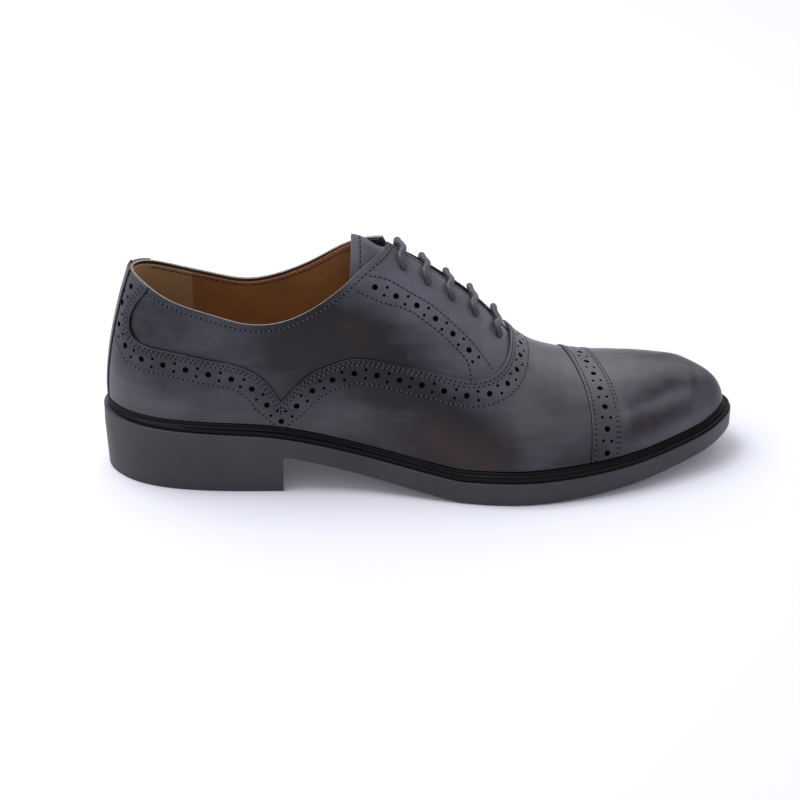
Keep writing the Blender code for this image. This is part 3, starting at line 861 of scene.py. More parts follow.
def crease(shape):
    """Presses the soft creases of wear into a surface of the last."""
    places = np.array([vert.co for vert in shape.verts]) + centre()
    depth = sum(near_line(places, *row[:5]) * row[5] * MM for row in CREASES)
    for vert, place in zip(shape.verts, [v.co - v.normal * d for v, d in zip(shape.verts, depth)]):
        vert.co = place
    shape.normal_update()
    return shape


def store_patina_and_painted_light(piece):
    """Stores how far patina and painted light darken, lighten, redden and tan each place of a
    piece.
    """
    count = len(piece.data.vertices)
    places = np.zeros(count * 3)
    piece.data.vertices.foreach_get("co", places)
    places = places.reshape(-1, 3) + centre()
    for index, name in enumerate(("burnish_and_painted_light", "warmth", "tan"), 5):
        values = sum(near_line(places, *row[:5]) * row[index] for row in PATINA_AND_PAINTED_LIGHT)
        layer = piece.data.attributes.new(name, "FLOAT", "POINT")
        layer.data.foreach_set("value", values.astype(np.float32))


@functools.cache
def last_tree():
    """Search tree of the last's whole surface, for laying things on it."""
    turn = np.linspace(0, TURN, TREE_COLUMNS)
    shape = grid_shape(wall_columns(turn, np.linspace(0, 1, TREE_ROWS) + 0 * turn[:, None]))
    tree = BVHTree.FromBMesh(shape)
    shape.free()
    return tree


def cast(starts, direction):
    """Places where rays from outside first meet the last."""
    found = []
    for start in starts:
        hit = last_tree().ray_cast(Vector(start) - Vector(centre()), Vector(direction))[0]
        if hit:
            found.append(np.array(hit) + centre())
    return np.array(found)


def lay_side(path, side):
    """Points of a side view path laid on one side of the last."""
    return cast([(x, side * 2 * BALL_WIDTH, z) for x, z in path], (0, -side, 0))


def lay_down(path):
    """Points of a plan path laid on the last from above."""
    return cast([(x, y, 2 * INSTEP_HEIGHT) for x, y in path], (0, 0, -1))


def nearest(points, tree=None):
    """Nearest places on the last, or on another search tree, and the normals there."""
    tree = tree or last_tree()
    found = [tree.find_nearest(Vector(p - centre()))[:2] for p in points]
    places = np.array([np.array(place) for place, _ in found]) + centre()
    return places, np.array([np.array(normal) for _, normal in found])


def directions(points):
    """Unit directions along a line of points."""
    return unit(np.gradient(points, axis=0))


def row_beside(points, distance, steps=4):
    """A line on the last moved across itself; a positive distance goes up on the way forward."""
    for _ in range(steps):
        places, normals = nearest(points)
        points = places + np.cross(normals, directions(places)) * distance / steps
    return nearest(points)[0]


def places_at(points, at):
    """Places at distances run along a line of points."""
    run = run_along(points)
    return np.stack([np.interp(at, run, points[:, i]) for i in range(3)], 1)


def even(points, step, start=0.5):
    """Places about a step apart along a line, from a share of the step in from its ends."""
    length = run_along(points)[-1]
    count = max(round(length / step), 1)
    return places_at(points, length / count * np.arange(start, count + 0.01))


def extended(points, length):
    """A line of points drawn on straight at its end."""
    ahead = unit(points[-1] - points[-3])
    extra = points[-1] + ahead * length * np.linspace(0.2, 1, 5)[:, None]
    return np.concatenate([points, nearest(extra)[0]])


def side_path(table, steps):
    """A table's line in side view."""
    return smooth_path(np.array(table) * (SOLE_LENGTH, BACK_HEIGHT), steps)


def cap_path(steps):
    """The toe cap's back edge in plan."""
    return smooth_path(np.array(CAP_EDGE)[:, ::-1] * (SOLE_LENGTH, BALL_WIDTH / 2), steps)


@functools.cache
def galosh_edges():
    """The galosh's edge: a line on each side back of the notch, and one over the throat's end."""
    back = side_path(GALOSH_BACK, GALOSH_STEPS)
    front = side_path(GALOSH_FRONT, GALOSH_FRONT_STEPS)
    behind = [lay_side(back, side) for side in (LATERAL, MEDIAL)]
    ahead = [lay_side(front, side) for side in (LATERAL, MEDIAL)]
    over = np.concatenate([ahead[0], ahead[1][::-1]])
    return behind, smooth_path(over[::3], GALOSH_OVER_STEPS)


def galosh_rows(distance, depth=0.0):
    """Lines at a distance inside the galosh's edge, from collar to notch and over the throat's end.

    They are trimmed where they meet; those with a depth run straight to that depth below it."""
    behind, over = galosh_edges()
    notch, height = GALOSH_FRONT[0][0] * SOLE_LENGTH, GALOSH_FRONT[0][1] * BACK_HEIGHT
    reach = NOTCH_REACH if depth else 0
    rows = []
    for line, side in zip(behind, (LATERAL, MEDIAL)):
        row = row_beside(extended(line, 2 * distance), side * distance)
        keep = row[:, 0] <= notch - reach
        keep &= row[:, 2] <= rim_height(row, side == MEDIAL) - ROW_BELOW_RIM
        rows.append(row[keep])
    long = extended(extended(over, 2 * distance)[::-1], 2 * distance)[::-1]
    row = row_beside(long, -distance)
    rows.append(row[row[:, 0] >= notch + reach])
    if depth:
        lateral, medial = [lay_side([(notch, height - depth)], s)[0] for s in (LATERAL, MEDIAL)]
        rows[0], rows[1] = joined(rows[0], lateral), joined(rows[1], medial)
        rows[2] = joined(joined(rows[2], medial)[::-1], lateral)[::-1]
    return rows


def joined(line, end):
    """A line on the last that runs on straight to a last place."""
    bridge = line[-1] + (end - line[-1]) * np.linspace(0, 1, 9)[1:, None]
    return np.concatenate([line, nearest(bridge)[0]])


@functools.cache
def cap_edge():
    """The toe cap's back edge, from the lateral side over to the medial one."""
    line = lay_down(cap_path(CAP_STEPS))
    rand = seat(line[:, 0]) + RAND_HEIGHT + RAND_CLEARANCE
    return line[line[:, 2] > rand]


def cap_row(distance):
    """A line ahead of the toe cap's back edge, down to the rand."""
    edge = extended(extended(cap_edge(), 4 * MM)[::-1], 4 * MM)[::-1]
    row = row_beside(edge, -distance)
    rand = seat(row[:, 0]) + RAND_HEIGHT + 2 * RAND_CLEARANCE
    return row[row[:, 2] > rand]


@functools.cache
def facing_rows():
    """Upper and lower stitch rows of the facing's band on both sides."""
    upper = side_path(FACING_UPPER, FACING_STEPS)
    lower = side_path(FACING_LOWER, FACING_STEPS)
    return [(lay_side(upper, side), lay_side(lower, side)) for side in (LATERAL, MEDIAL)]


def frames_on(points, lift, tree=None):
    """Matrices that stand small things on the last: X along the line, Z out of the leather."""
    places, normals = nearest(points, tree)
    along = directions(points) if len(points) > 1 else np.array([[1.0, 0, 0]])
    across = unit(np.cross(normals, along))
    along = np.cross(across, normals)
    return np.stack([along, across, normals, places + normals * lift - centre()], 2)


def scatter(name, template, frames, materials):
    """One mesh of many copies of a small shape, each placed by its frame."""
    base = bpy.data.meshes.new(name)
    template.to_mesh(base)
    template.free()
    count = len(base.vertices)
    verts = np.zeros(count * 3)
    base.vertices.foreach_get("co", verts)
    verts = np.concatenate([verts.reshape(-1, 3), np.ones((count, 1))], 1)
    placed = np.einsum("nij,vj->nvi", frames, verts).reshape(-1, 3)
    faces = [tuple(face.vertices) for face in base.polygons]
    every = [tuple(v + count * k for v in face) for k in range(len(frames)) for face in faces]
    base.clear_geometry()
    base.from_pydata(placed.tolist(), [], every)
    base.shade_smooth()
    piece = bpy.data.objects.new(name, base)
    bpy.context.scene.collection.objects.link(piece)
    for material in materials:
        base.materials.append(material)
    return piece


def stitch_shape(sizes):
    """One stitch: a short rounded thread lying along X."""
    shape = bmesh.new()
    bmesh.ops.create_uvsphere(shape, u_segments=6, v_segments=5, radius=0.5)
    bmesh.ops.rotate(shape, verts=shape.verts, matrix=Matrix.Rotation(math.pi / 2, 3, "Y"))
    reach = (sizes.stitch_length, sizes.thread, sizes.thread * 0.8)
    bmesh.ops.scale(shape, verts=shape.verts, vec=reach)
    return shape


def needle_shape(sizes):
    """The dark dimple of one needle hole: a low dome."""
    shape = bmesh.new()
    bmesh.ops.create_uvsphere(shape, u_segments=8, v_segments=4, radius=0.5)
    reach = (sizes.stitch_pitch - sizes.stitch_length, sizes.thread, 0.1 * MM)
    bmesh.ops.scale(shape, verts=shape.verts, vec=[1.25 * size for size in reach])
    return shape


def stitch_rows(name, rows, lift, sizes, tree=None):
    """Stitches along lines at a height over the last, and the needle holes between them."""
    rows = [row for row in rows if len(row) > 3]
    threads = [frames_on(even(row, sizes.stitch_pitch), lift, tree) for row in rows]
    holes = [frames_on(even(row, sizes.stitch_pitch, 0.0), lift, tree) for row in rows]
    sewn = scatter(name, stitch_shape(sizes), np.concatenate(threads), [finish("thread")])
    dress(sewn, "waxed_lace")
    pricked = scatter(name + "_holes", needle_shape(sizes), np.concatenate(holes), [finish("hole")])
    dress(pricked, "polished_leather")


def punch(name, frames, size, depth, sides=16):
    """Cutter of round punches that reach down from the leather's face."""
    shape = bmesh.new()
    bmesh.ops.create_cone(
        shape, cap_ends=True, segments=sides, radius1=size / 2, radius2=size / 2, depth=2 * depth
    )
    cutter = scatter(name, shape, frames, [])
    cutter.data.shade_flat()
    for face in cutter.data.polygons:
        face.material_index = 1
    return cutter


def hole_frames(line, before, after, pair_last, sizes, lift):
    """Frames of the large holes along a line, and of the pairs of small ones halfway between.

    The line starts with a large hole and ends with one or with a pair; before and after are the
    free lengths at its ends, in steps from a hole to the next pair."""
    length = run_along(line)[-1]
    steps = 2 * round((length / sizes.hole_pitch * 2 - before - after - pair_last) / 2) + pair_last
    at = length * (before + np.arange(steps + 1)) / (before + steps + after)
    places = places_at(line, at)
    big = frames_on(places[::2], lift)
    small = [
        frames_on(row_beside(places, aside, 1)[1::2], lift)
        for aside in (-sizes.pair_spread / 2, sizes.pair_spread / 2)
    ]
    return big, np.concatenate(small)


def punched(piece, lines, lift, depth, sizes):
    """Punches the perforations of some lines, each with its layout, into a piece."""
    frames = [hole_frames(line, *layout, sizes, lift) for line, layout in lines]
    big = np.concatenate([pair[0] for pair in frames])
    small = np.concatenate([pair[1] for pair in frames])
    cutters = [
        punch(piece.name + "_large", big, sizes.hole, depth),
        punch(piece.name + "_small", small, sizes.pinhole, depth, 10),
    ]
    return [add_cut(piece, cutter, "DIFFERENCE") for cutter in cutters]


def slab(name, outline, depth, upright):
    """Cutter: a flat outline, in side view if upright, else in plan, thickened both ways."""
    curve = bpy.data.curves.new(name, "CURVE")
    curve.dimensions = "2D"
    curve.fill_mode = "BOTH"
    curve.extrude = depth
    line = curve.splines.new("POLY")
    line.points.add(len(outline) - 1)
    for point, place in zip(line.points, outline):
        point.co = (place[0], place[1], 0, 1)
    line.use_cyclic_u = True
    drawn = bpy.data.objects.new(name, curve)
    bpy.context.scene.collection.objects.link(drawn)
    tilt = math.pi / 2 if upright else 0
    drawn.matrix_world = Matrix.Translation(-centre()) @ Matrix.Rotation(tilt, 4, "X")
    bpy.context.view_layer.update()
    graph = bpy.context.evaluated_depsgraph_get()
    mesh = bpy.data.meshes.new_from_object(drawn.evaluated_get(graph))
    mesh.transform(drawn.matrix_world)
    shape = bmesh.new()
    shape.from_mesh(mesh)
    bmesh.ops.remove_doubles(shape, verts=shape.verts, dist=WELD)
    bmesh.ops.recalc_face_normals(shape, faces=shape.faces)
    bpy.data.objects.remove(drawn)
    return add_piece(name, shape, [])


def close_ends(shape):
    """Fills a shape's open ends and turns its faces outwards."""
    bmesh.ops.holes_fill(shape, edges=[edge for edge in shape.edges if edge.is_boundary])
    bmesh.ops.recalc_face_normals(shape, faces=shape.faces)


def tube(name, path, radius, sides, materials):
    """Round cord or bead along a path, with its UV map in millimetres along it."""
    along = directions(path)
    _, normals = nearest(path)
    across = unit(np.cross(normals, along))
    up = np.cross(along, across)
    angle = np.linspace(0, TURN, sides, endpoint=False)
    ring = across[:, None] * np.cos(angle)[:, None] + up[:, None] * np.sin(angle)[:, None]
    shape = grid_shape(path[:, None] + ring * radius, closed=True)
    close_ends(shape)
    layer = shape.loops.layers.uv.active
    length = run_along(path)[-1] / MM
    for face in shape.faces:
        for loop in face.loops:
            loop[layer].uv.x *= length
    return add_piece(name, shape, materials)


def add_node(tree, kind, inputs=(), output=0, **settings):
    """Adds a shader node with its settings, and gives one of its outputs. The inputs, by name or in
    order, are sockets or values."""
    made = tree.nodes.new(kind)
    for name, value in settings.items():
        setattr(made, name, value)
    for key, value in inputs.items() if isinstance(inputs, dict) else enumerate(inputs):
        if isinstance(value, bpy.types.NodeSocket):
            tree.links.new(value, made.inputs[key])
        else:
            made.inputs[key].default_value = value
    return made.outputs[output]


def new_material(name, **sockets):
    """Material with a Principled shader; gives the material, its tree and the shader's sockets."""
    material = bpy.data.materials.new(name)
    material.use_nodes = True
    shader = material.node_tree.nodes["Principled BSDF"].inputs
    for key, value in sockets.items():
        shader[key.replace("_", " ")].default_value = value
    return material, material.node_tree, shader


def pattern(tree, kind, size_mm, **inputs):
    """A texture on the piece, with one unit of it as long as a size, or three, in mm."""
    place = add_node(tree, "ShaderNodeTexCoord", output="Object")
    scale = 1 / (np.ones(3) * size_mm * MM)
    place = add_node(tree, "ShaderNodeMapping", {"Vector": place, "Scale": scale})
    return add_node(tree, kind, {"Vector": place, "Scale": 1.0, **inputs})


def mottling(tree, size_mm, detail, low=0.0, high=1.0, rough=0.5):
    """Soft clouds of about a size in mm, which run from one value to another."""
    cloud = pattern(tree, "ShaderNodeTexNoise", size_mm, Detail=detail, Roughness=rough)
    return add_node(tree, "ShaderNodeMapRange", (cloud, 0.3, 0.7, low, high))


def along_shoe(tree, start, end):
    """A share that goes from 0 to 1 between two places along the shoe."""
    place = add_node(tree, "ShaderNodeTexCoord", output="Object")
    x = add_node(tree, "ShaderNodeSeparateXYZ", (place,))
    middle = centre()[0]
    return add_node(tree, "ShaderNodeMapRange", (x, start - middle, end - middle, 0.0, 1.0))


def darker(colour, share):
    """A colour taken down to a share of itself."""
    return [part * share for part in colour]


def paint(tree, shader, ground, *layers):
    """Paints a ground colour with layers: each is a share, a colour and, if not plain, a blend."""
    laid = (*ground, 1)
    for share, colour, *blend in layers:
        laid = add_node(
            tree, "ShaderNodeMix", {0: share, 6: laid, 7: (*colour, 1)}, 2,
            data_type="RGBA", blend_type=blend[0] if blend else "MIX",
        )
    tree.links.new(laid, shader["Base Color"])


def emboss(tree, shader, *layers):
    """Stacks reliefs on the surface: each layer is a height, a strength and a depth in mm."""
    below = {}
    for height, strength, depth in layers:
        inputs = {"Height": height, "Strength": strength, "Distance": depth * MM, **below}
        below = {"Normal": add_node(tree, "ShaderNodeBump", inputs)}
    tree.links.new(below["Normal"], shader["Normal"])


def polished_calf(colours):
    """Full-grain calf, dyed, waxed and hand-burnished: fine pores under a soft gloss, with darker
    and red-brown clouds where the polish was rubbed in, and painted highlights and a painted
    reflection on the toe cap from the stored lines."""
    material, tree, shader = new_material(
        "Polished calf leather",
        Roughness=0.45, Specular_IOR_Level=0.25, Coat_Weight=0.2, Coat_Roughness=0.2,
    )
    burnish_and_painted_light, warmth, tan = (
        add_node(tree, "ShaderNodeAttribute", output="Fac", attribute_name=name)
        for name in ("burnish_and_painted_light", "warmth", "tan")
    )
    total = burnish_and_painted_light
    for cloud in (
        mottling(tree, 34, 3, -0.27, 0.27),
        mottling(tree, (26, 26, 5), 4, -0.13, 0.13),
        mottling(tree, 4, 4, -0.06, 0.06),
    ):
        total = add_node(tree, "ShaderNodeMath", (total, cloud), operation="ADD")
    # Share of the dark colour: random clouds plus the stored lines of patina, painted highlights
    # and reflection
    dark = add_node(tree, "ShaderNodeMapRange", (total, -1.15, 0.45, 0.0, 1.0))
    patchy = pattern(tree, "ShaderNodeTexNoise", 22, Detail=3)
    red = add_node(tree, "ShaderNodeMath", (warmth, patchy), operation="MULTIPLY")
    red = add_node(tree, "ShaderNodeMapRange", (red, 0.12, 0.75, 0.0, 0.85))
    tanned = add_node(tree, "ShaderNodeMapRange", (tan, 0.0, 1.0, 0.0, 1.0))
    paint(
        tree, shader, colours.leather_light,
        (dark, colours.leather_dark),
        (red, colours.leather_warm),
        (tanned, colours.leather_tan, "MULTIPLY"),
    )
    tree.links.new(mottling(tree, 14, 4, 0.38, 0.5), shader["Roughness"])
    dents = pattern(tree, "ShaderNodeTexNoise", 9, Detail=3)
    pores = pattern(tree, "ShaderNodeTexVoronoi", 0.55)
    emboss(tree, shader, (dents, 0.25, 0.12), (pores, 0.18, 0.05))
    return material


def bare_black(colours):
    """Inside of a punched hole: raw dyed leather in shadow, with no polish on it."""
    material, tree, shader = new_material(
        "Punched leather", Roughness=0.95, Specular_IOR_Level=0
    )
    fibres = pattern(tree, "ShaderNodeTexNoise", 0.6)
    paint(tree, shader, colours.hole, (fibres, (0.0, 0.0, 0.0)))
    return material


def cut_edge(colours):
    """Cut edge of the upper's leather: raw, pale fibres under a thin dye, except on the throat's
    edges, which are turned over and dyed like the leather."""
    material, tree, shader = new_material("Cut leather edge", Roughness=0.75)
    fibres = pattern(tree, "ShaderNodeTexNoise", 1.2, Detail=3)
    paint(
        tree, shader, colours.cut_edge,
        (
            add_node(tree, "ShaderNodeMapRange", (fibres, 0.35, 0.65, 0.0, 1.0)),
            darker(colours.cut_edge, 0.55),
        ),
        (along_shoe(tree, THROAT_TOP - 1.5 * MM, THROAT_TOP - MM), colours.leather_dark),
    )
    emboss(tree, shader, (pattern(tree, "ShaderNodeTexNoise", 0.4), 0.4, 0.1))
    return material


def lining_leather(colours):
    """Vegetable-tanned lining: unpolished tan hide with soft mottling, suede at the heel grip."""
    material, tree, shader = new_material(
        "Tan lining leather", Roughness=0.62, Sheen_Weight=0.15
    )
    soft = 0.2 * MM
    grip = along_shoe(tree, GRIP_FRONT + soft, GRIP_FRONT - soft)
    paint(
        tree, shader, colours.lining,
        (mottling(tree, 12, 5, rough=0.6), darker(colours.lining, 0.72)),
        (grip, colours.heel_grip),
        (along_shoe(tree, FACING_BACK - soft, FACING_BACK + soft), colours.leather_dark),
    )
    nap = add_node(tree, "ShaderNodeMapRange", (grip, 0.0, 1.0, 0.55, 0.9))
    tree.links.new(nap, shader["Roughness"])
    dents = pattern(tree, "ShaderNodeTexNoise", 3.5, Detail=3)
    grain = pattern(tree, "ShaderNodeTexNoise", 0.5)
    emboss(tree, shader, (dents, 0.3, 0.2), (grain, 0.25, 0.06))
    return material


def sole_edge_finish(colours):
    """Dyed and brushed sole and heel edge: dense grey-brown, semi-matt, faintly layered."""
    material, tree, shader = new_material("Brushed sole edge", Roughness=0.5)
    cloud = mottling(tree, 25, 4)
    paint(tree, shader, colours.sole, (cloud, darker(colours.sole, 0.8)))
    brushed = add_node(tree, "ShaderNodeMapRange", (cloud, 0.0, 1.0, 0.42, 0.55))
    tree.links.new(brushed, shader["Roughness"])
    streaks = pattern(tree, "ShaderNodeTexNoise", (14, 14, 0.35))
    grain = pattern(tree, "ShaderNodeTexNoise", 0.5)
    emboss(tree, shader, (streaks, 0.25, 0.05), (grain, 0.2, 0.03))
    return material


def black_rand_and_gap_shade(colours):
    """Welt and rand of leather under thick black ink and wax, dull and a little uneven; the rand's
    black also paints the shade in the gap under the upper.
    """
    material, tree, shader = new_material("Inked welt and painted gap shade", Roughness=0.5, Specular_IOR_Level=0.16)
    uneven = pattern(tree, "ShaderNodeTexNoise", 5, Detail=3)
    paint(tree, shader, colours.welt, (uneven, darker(colours.welt, 0.5)))
    wheel_marks = pattern(tree, "ShaderNodeTexNoise", 1.3, Detail=3)
    emboss(tree, shader, (wheel_marks, 0.6, 0.25))
    return material


def thread(colours):
    """Waxed polyester thread: twisted, so matt and dark with paler and darker lengths."""
    material, tree, shader = new_material("Waxed thread", Roughness=0.55)
    twist = pattern(tree, "ShaderNodeTexNoise", 0.4)
    paint(tree, shader, colours.thread, (twist, darker(colours.thread, 0.6)))
    return material


def waxed_lace(colours):
    """Round waxed cotton lace: a tight braid under a dull wax film, with painted shade in the
    hollows between its strands.
    """
    material, tree, shader = new_material("Waxed cotton lace", Roughness=0.5, Sheen_Weight=0.1)
    place = add_node(tree, "ShaderNodeTexCoord", output="UV")
    along = add_node(tree, "ShaderNodeSeparateXYZ", (place,), "X")
    about = add_node(tree, "ShaderNodeSeparateXYZ", (place,), "Y")
    # One braid crossing is 1.1 mm long and an eighth of the way round
    along = add_node(tree, "ShaderNodeMath", (along, TURN / 1.1), operation="MULTIPLY")
    strands = []
    for slant in (1, -1):
        slope = add_node(tree, "ShaderNodeMath", (about, slant * TURN * 4), operation="MULTIPLY")
        total = add_node(tree, "ShaderNodeMath", (along, slope), operation="ADD")
        strands.append(add_node(tree, "ShaderNodeMath", (total,), operation="SINE"))
    braid = add_node(tree, "ShaderNodeMath", strands, operation="MAXIMUM")
    # The hollows between the strands are painted darker, as their shade
    raised = add_node(tree, "ShaderNodeMapRange", (braid, -0.6, 1.0, 0.0, 1.0))
    paint(tree, shader, darker(colours.lace, 0.6), (raised, colours.lace))
    emboss(tree, shader, (braid, 0.4, 0.06))
    return material


def floor_paper(colours):
    """Seamless paper: white and matt, with a faint painted glow that keeps its shadows pale."""
    material, tree, shader = new_material(
        "Seamless paper", Roughness=0.9, Emission_Color=(1, 1, 1, 1), Emission_Strength=0.055
    )
    uneven = pattern(tree, "ShaderNodeTexNoise", 400)
    paint(tree, shader, colours.floor, (uneven, darker(colours.floor, 0.995)))
    return material


MAKERS = {
    "calf": polished_calf,
    "hole": bare_black,
    "edge": cut_edge,
    "lining": lining_leather,
    "sole": sole_edge_finish,
    "rand": black_rand_and_gap_shade,
    "thread": thread,
    "lace": waxed_lace,
    "floor": floor_paper,
}


@functools.cache
def finish(name):
    """The shoe's material of a name, made once."""
    return MAKERS[name](bpy.context.scene.shoe_colours)


def length(name, description, default, high):
    """Property for a small length."""
    return FloatProperty(
        name=name, description=description, default=default, min=0.0, max=high,
        unit="LENGTH", precision=4,
    )


def colour(name, description, code):
    """Property for a colour given as an sRGB hex code."""
    return FloatVectorProperty(
        name=name, description=description, default=linear(code), size=3, min=0.0, max=1.0,
        subtype="COLOR",
    )


class ShoeSizes(bpy.types.PropertyGroup):
    """Sizes of the seams, perforations and lace."""

    stitch_pitch: length("Stitch pitch", "Distance from stitch to stitch", 2.35 * MM, 0.01)
    stitch_length: length("Stitch length", "Length of one stitch", 1.65 * MM, 0.01)
    thread: length("Thread", "Width of the sewing thread", 0.65 * MM, 0.002)
    hole: length("Hole", "Diameter of the large perforations", 2.8 * MM, 0.006)
    pinhole: length("Small hole", "Diameter of the small perforations", 1.5 * MM, 0.004)
    hole_pitch: length("Hole pitch", "Distance between large perforations", 10.8 * MM, 0.03)
    pair_spread: length("Pair spread", "Distance between paired small holes", 4.0 * MM, 0.01)
    eyelet: length("Eyelet", "Diameter of the lace holes", 3.6 * MM, 0.008)


class ShoeColours(bpy.types.PropertyGroup):
    """Colours of the leather, sole, lace and studio."""

    # The light colour shows in light clouds and in the painted highlights, which the tan tint
    # warms; the dark one in burnished clouds and in the toe cap's painted dark streak
    leather_light: colour("Leather, light", "Leather where it was polished out", "5a5864")
    leather_dark: colour("Leather, dark", "Leather where it was burnished", "0f0e13")
    leather_warm: colour("Leather, warm", "Red-brown clouds in the polish", "2a181b")
    leather_tan: colour("Leather, tan", "Tint of thin, yellowed polish", "fffbea")
    hole: colour("Holes", "Inside of the perforations", "101015")
    cut_edge: colour("Cut edge", "Edge of the upper at the collar", "8d7f73")
    lining: colour("Lining", "Lining leather", "94612f")
    heel_grip: colour("Heel grip", "Suede lining at the heel", "9e7a52")
    sole: colour("Sole", "Side of sole and heel", "28282c")
    welt: colour("Welt", "Welt and rand", "030305")
    thread: colour("Thread", "Sewing thread", "3c3c46")
    lace: colour("Lace", "Lace", "36343c")
    floor: colour("Floor", "Studio floor", "d8d8e2")


def half_turns(end):
    """Lateral turns of the columns, from the heel's back to an x."""
    turns = turns_round()
    lateral = turns[turns <= math.pi + ROUNDING_ERROR]
    return lateral[sole_edge(lateral)[:, 0] <= end + ROUNDING_ERROR]


def level_of(inset, height, plan_of=sole_edge):
    """Level of a stacked solid: the sole's edge moved in, both by sizes that follow x."""

    def points(turns):
        plan = plan_of(turns)
        plan = plan - outward(turns) * inset(plan[:, :1])
        return np.concatenate([plan, height(plan[:, 0])[:, None]], 1)

    return points


def stacked(name, turns, levels, materials):
    """Solid between plan loops, closed across its bottom and top."""
    lateral = np.array([level(turns) for level in levels])
    medial = np.array([level(TURN - turns) for level in levels])
    bottom = (lateral[:1] + medial[:1]) / 2
    top = (lateral[-1:] + medial[-1:]) / 2
    ring = np.concatenate([bottom, lateral, top, medial[::-1]])
    shape = grid_shape(ring.transpose(1, 0, 2), closed=True)
    close_ends(shape)
    return add_piece(name, shape, materials)


def rounded(radius, low, high, steps=5):
    """Levels of a side whose lower edge is rounded ahead of the heel."""
    levels = [level_of(lambda x: np.where(x > HEEL_LENGTH, 1.4 * radius, 0.4 * radius), low)]
    for angle in np.linspace(0, math.pi / 2, steps):
        inset = radius * (1 - math.sin(angle))
        rise = radius * (1 - math.cos(angle))
        levels.append(level_of(
            lambda x, inset=inset: np.where(x > HEEL_LENGTH, inset, 0),
            lambda x, rise=rise: low(x) + rise,
        ))
    levels.append(level_of(np.zeros_like, lambda x: high(x) - TOP_BEVEL))
    levels.append(level_of(lambda x: 0 * x + TOP_BEVEL, high))
    return levels


class SHOE_OT_bottom(bpy.types.Operator):
    """Makes the sole, heel, welt and insole"""

    bl_idname = "shoe.bottom"
    bl_label = "Sole and welt"

    def execute(self, context):
        sole = finish("sole")
        levels = rounded(SOLE_ROUNDING, tread, seat)
        piece = stacked("sole", half_turns(SOLE_LENGTH), levels, [sole])
        dress(piece, "sole_edge", "outsole")
        levels = [
            level_of(lambda x: 0 * x + HEEL_TAPER + HEEL_ROUNDING, np.zeros_like),
            level_of(lambda x: 0 * x + HEEL_TAPER, lambda x: 0 * x + HEEL_ROUNDING),
            level_of(lambda x: 0 * x + HEEL_TAPER / 2, lambda x: tread(x) / 2),
            level_of(np.zeros_like, tread),
        ]
        piece = stacked("heel_block", half_turns(HEEL_LENGTH), levels, [sole])
        dress(piece, "sole_edge", "heel")
        self.insole()
        self.welt(context.scene.shoe_sizes)
        return {"FINISHED"}

    def insole(self):
        levels = []
        straight = (0, INSOLE_THICKNESS - INSOLE_BEVEL)
        for inset, rise in ((0, 0), straight, (INSOLE_BEVEL, INSOLE_THICKNESS)):
            levels.append(level_of(
                np.zeros_like,
                lambda x, rise=rise: seat(x) + GAP + rise,
                lambda turns, inset=inset: feather(turns, WALL + GAP + inset),
            ))
        piece = stacked("sock", half_turns(SOLE_LENGTH), levels, [finish("lining")])
        dress(piece, "lining_leather", "insole")

    def welt(self, sizes):
        turn = turns_round()
        foot = last_surface()[:, :2]
        slope = foot[:, 1] - foot[:, 0]
        out = np.pad(outward(turn), ((0, 0), (0, 1)))

        def beside(height, distance):
            inner = foot[:, 0] + slope * (height / slope[:, 2])[:, None]
            return inner + out * (GAP + distance)

        step = WELT_STEP + LEDGE * round_shoe(MARGIN, 1, 1, turn)
        edge = sole_edge(turn) - outward(turn) * step[:, None]
        edge = np.concatenate([edge, (seat(edge[:, 0]) + GAP)[:, None]], 1)
        rand = beside(WELT_THICKNESS, RAND_THICKNESS)

        def flange(share, height):
            level = edge + (0, 0, WELT_THICKNESS)
            return rand + (level - rand) * share + (0, 0, height)

        section = [
            beside(0, 0),
            edge - out * 0.35 * MM,
            edge + (0, 0, 0.35 * MM),
            edge + (0, 0, WELT_THICKNESS - 0.45 * MM),
            flange(1, -0.1 * MM) - out * 0.3 * MM,
            *[flange(share, rise * MM) for share, rise in WELT_TOP],
            beside(WELT_THICKNESS + 0.6 * MM, RAND_THICKNESS),
            # The rand's face, whose black also paints the shade under the upper's edge
            *[beside(RAND_HEIGHT - down * MM, RAND_THICKNESS * part) for down, part in RAND_FACE],
        ]
        shape = grid_shape(np.stack(section, 1), closed=True)
        piece = add_piece("welt_and_rand", shape, [finish("rand")])
        dress(piece, "welt_black", "welt")
        groove = flange(0.5, THREAD_LIFT)
        places = even(groove[groove[:, 0] > WELT_SEAM_START * SOLE_LENGTH], WELT_PITCH)
        along = directions(places)
        up = np.zeros_like(along) + (0, 0, 1)
        across = unit(np.cross(up, along))
        frames = np.stack([along, across, np.cross(along, across), places - centre()], 2)
        shape = stitch_shape(sizes)
        bmesh.ops.scale(shape, verts=shape.verts, vec=WELT_STITCH)
        piece = scatter("welt_stitches", shape, frames, [finish("rand")])
        dress(piece, "welt_black")


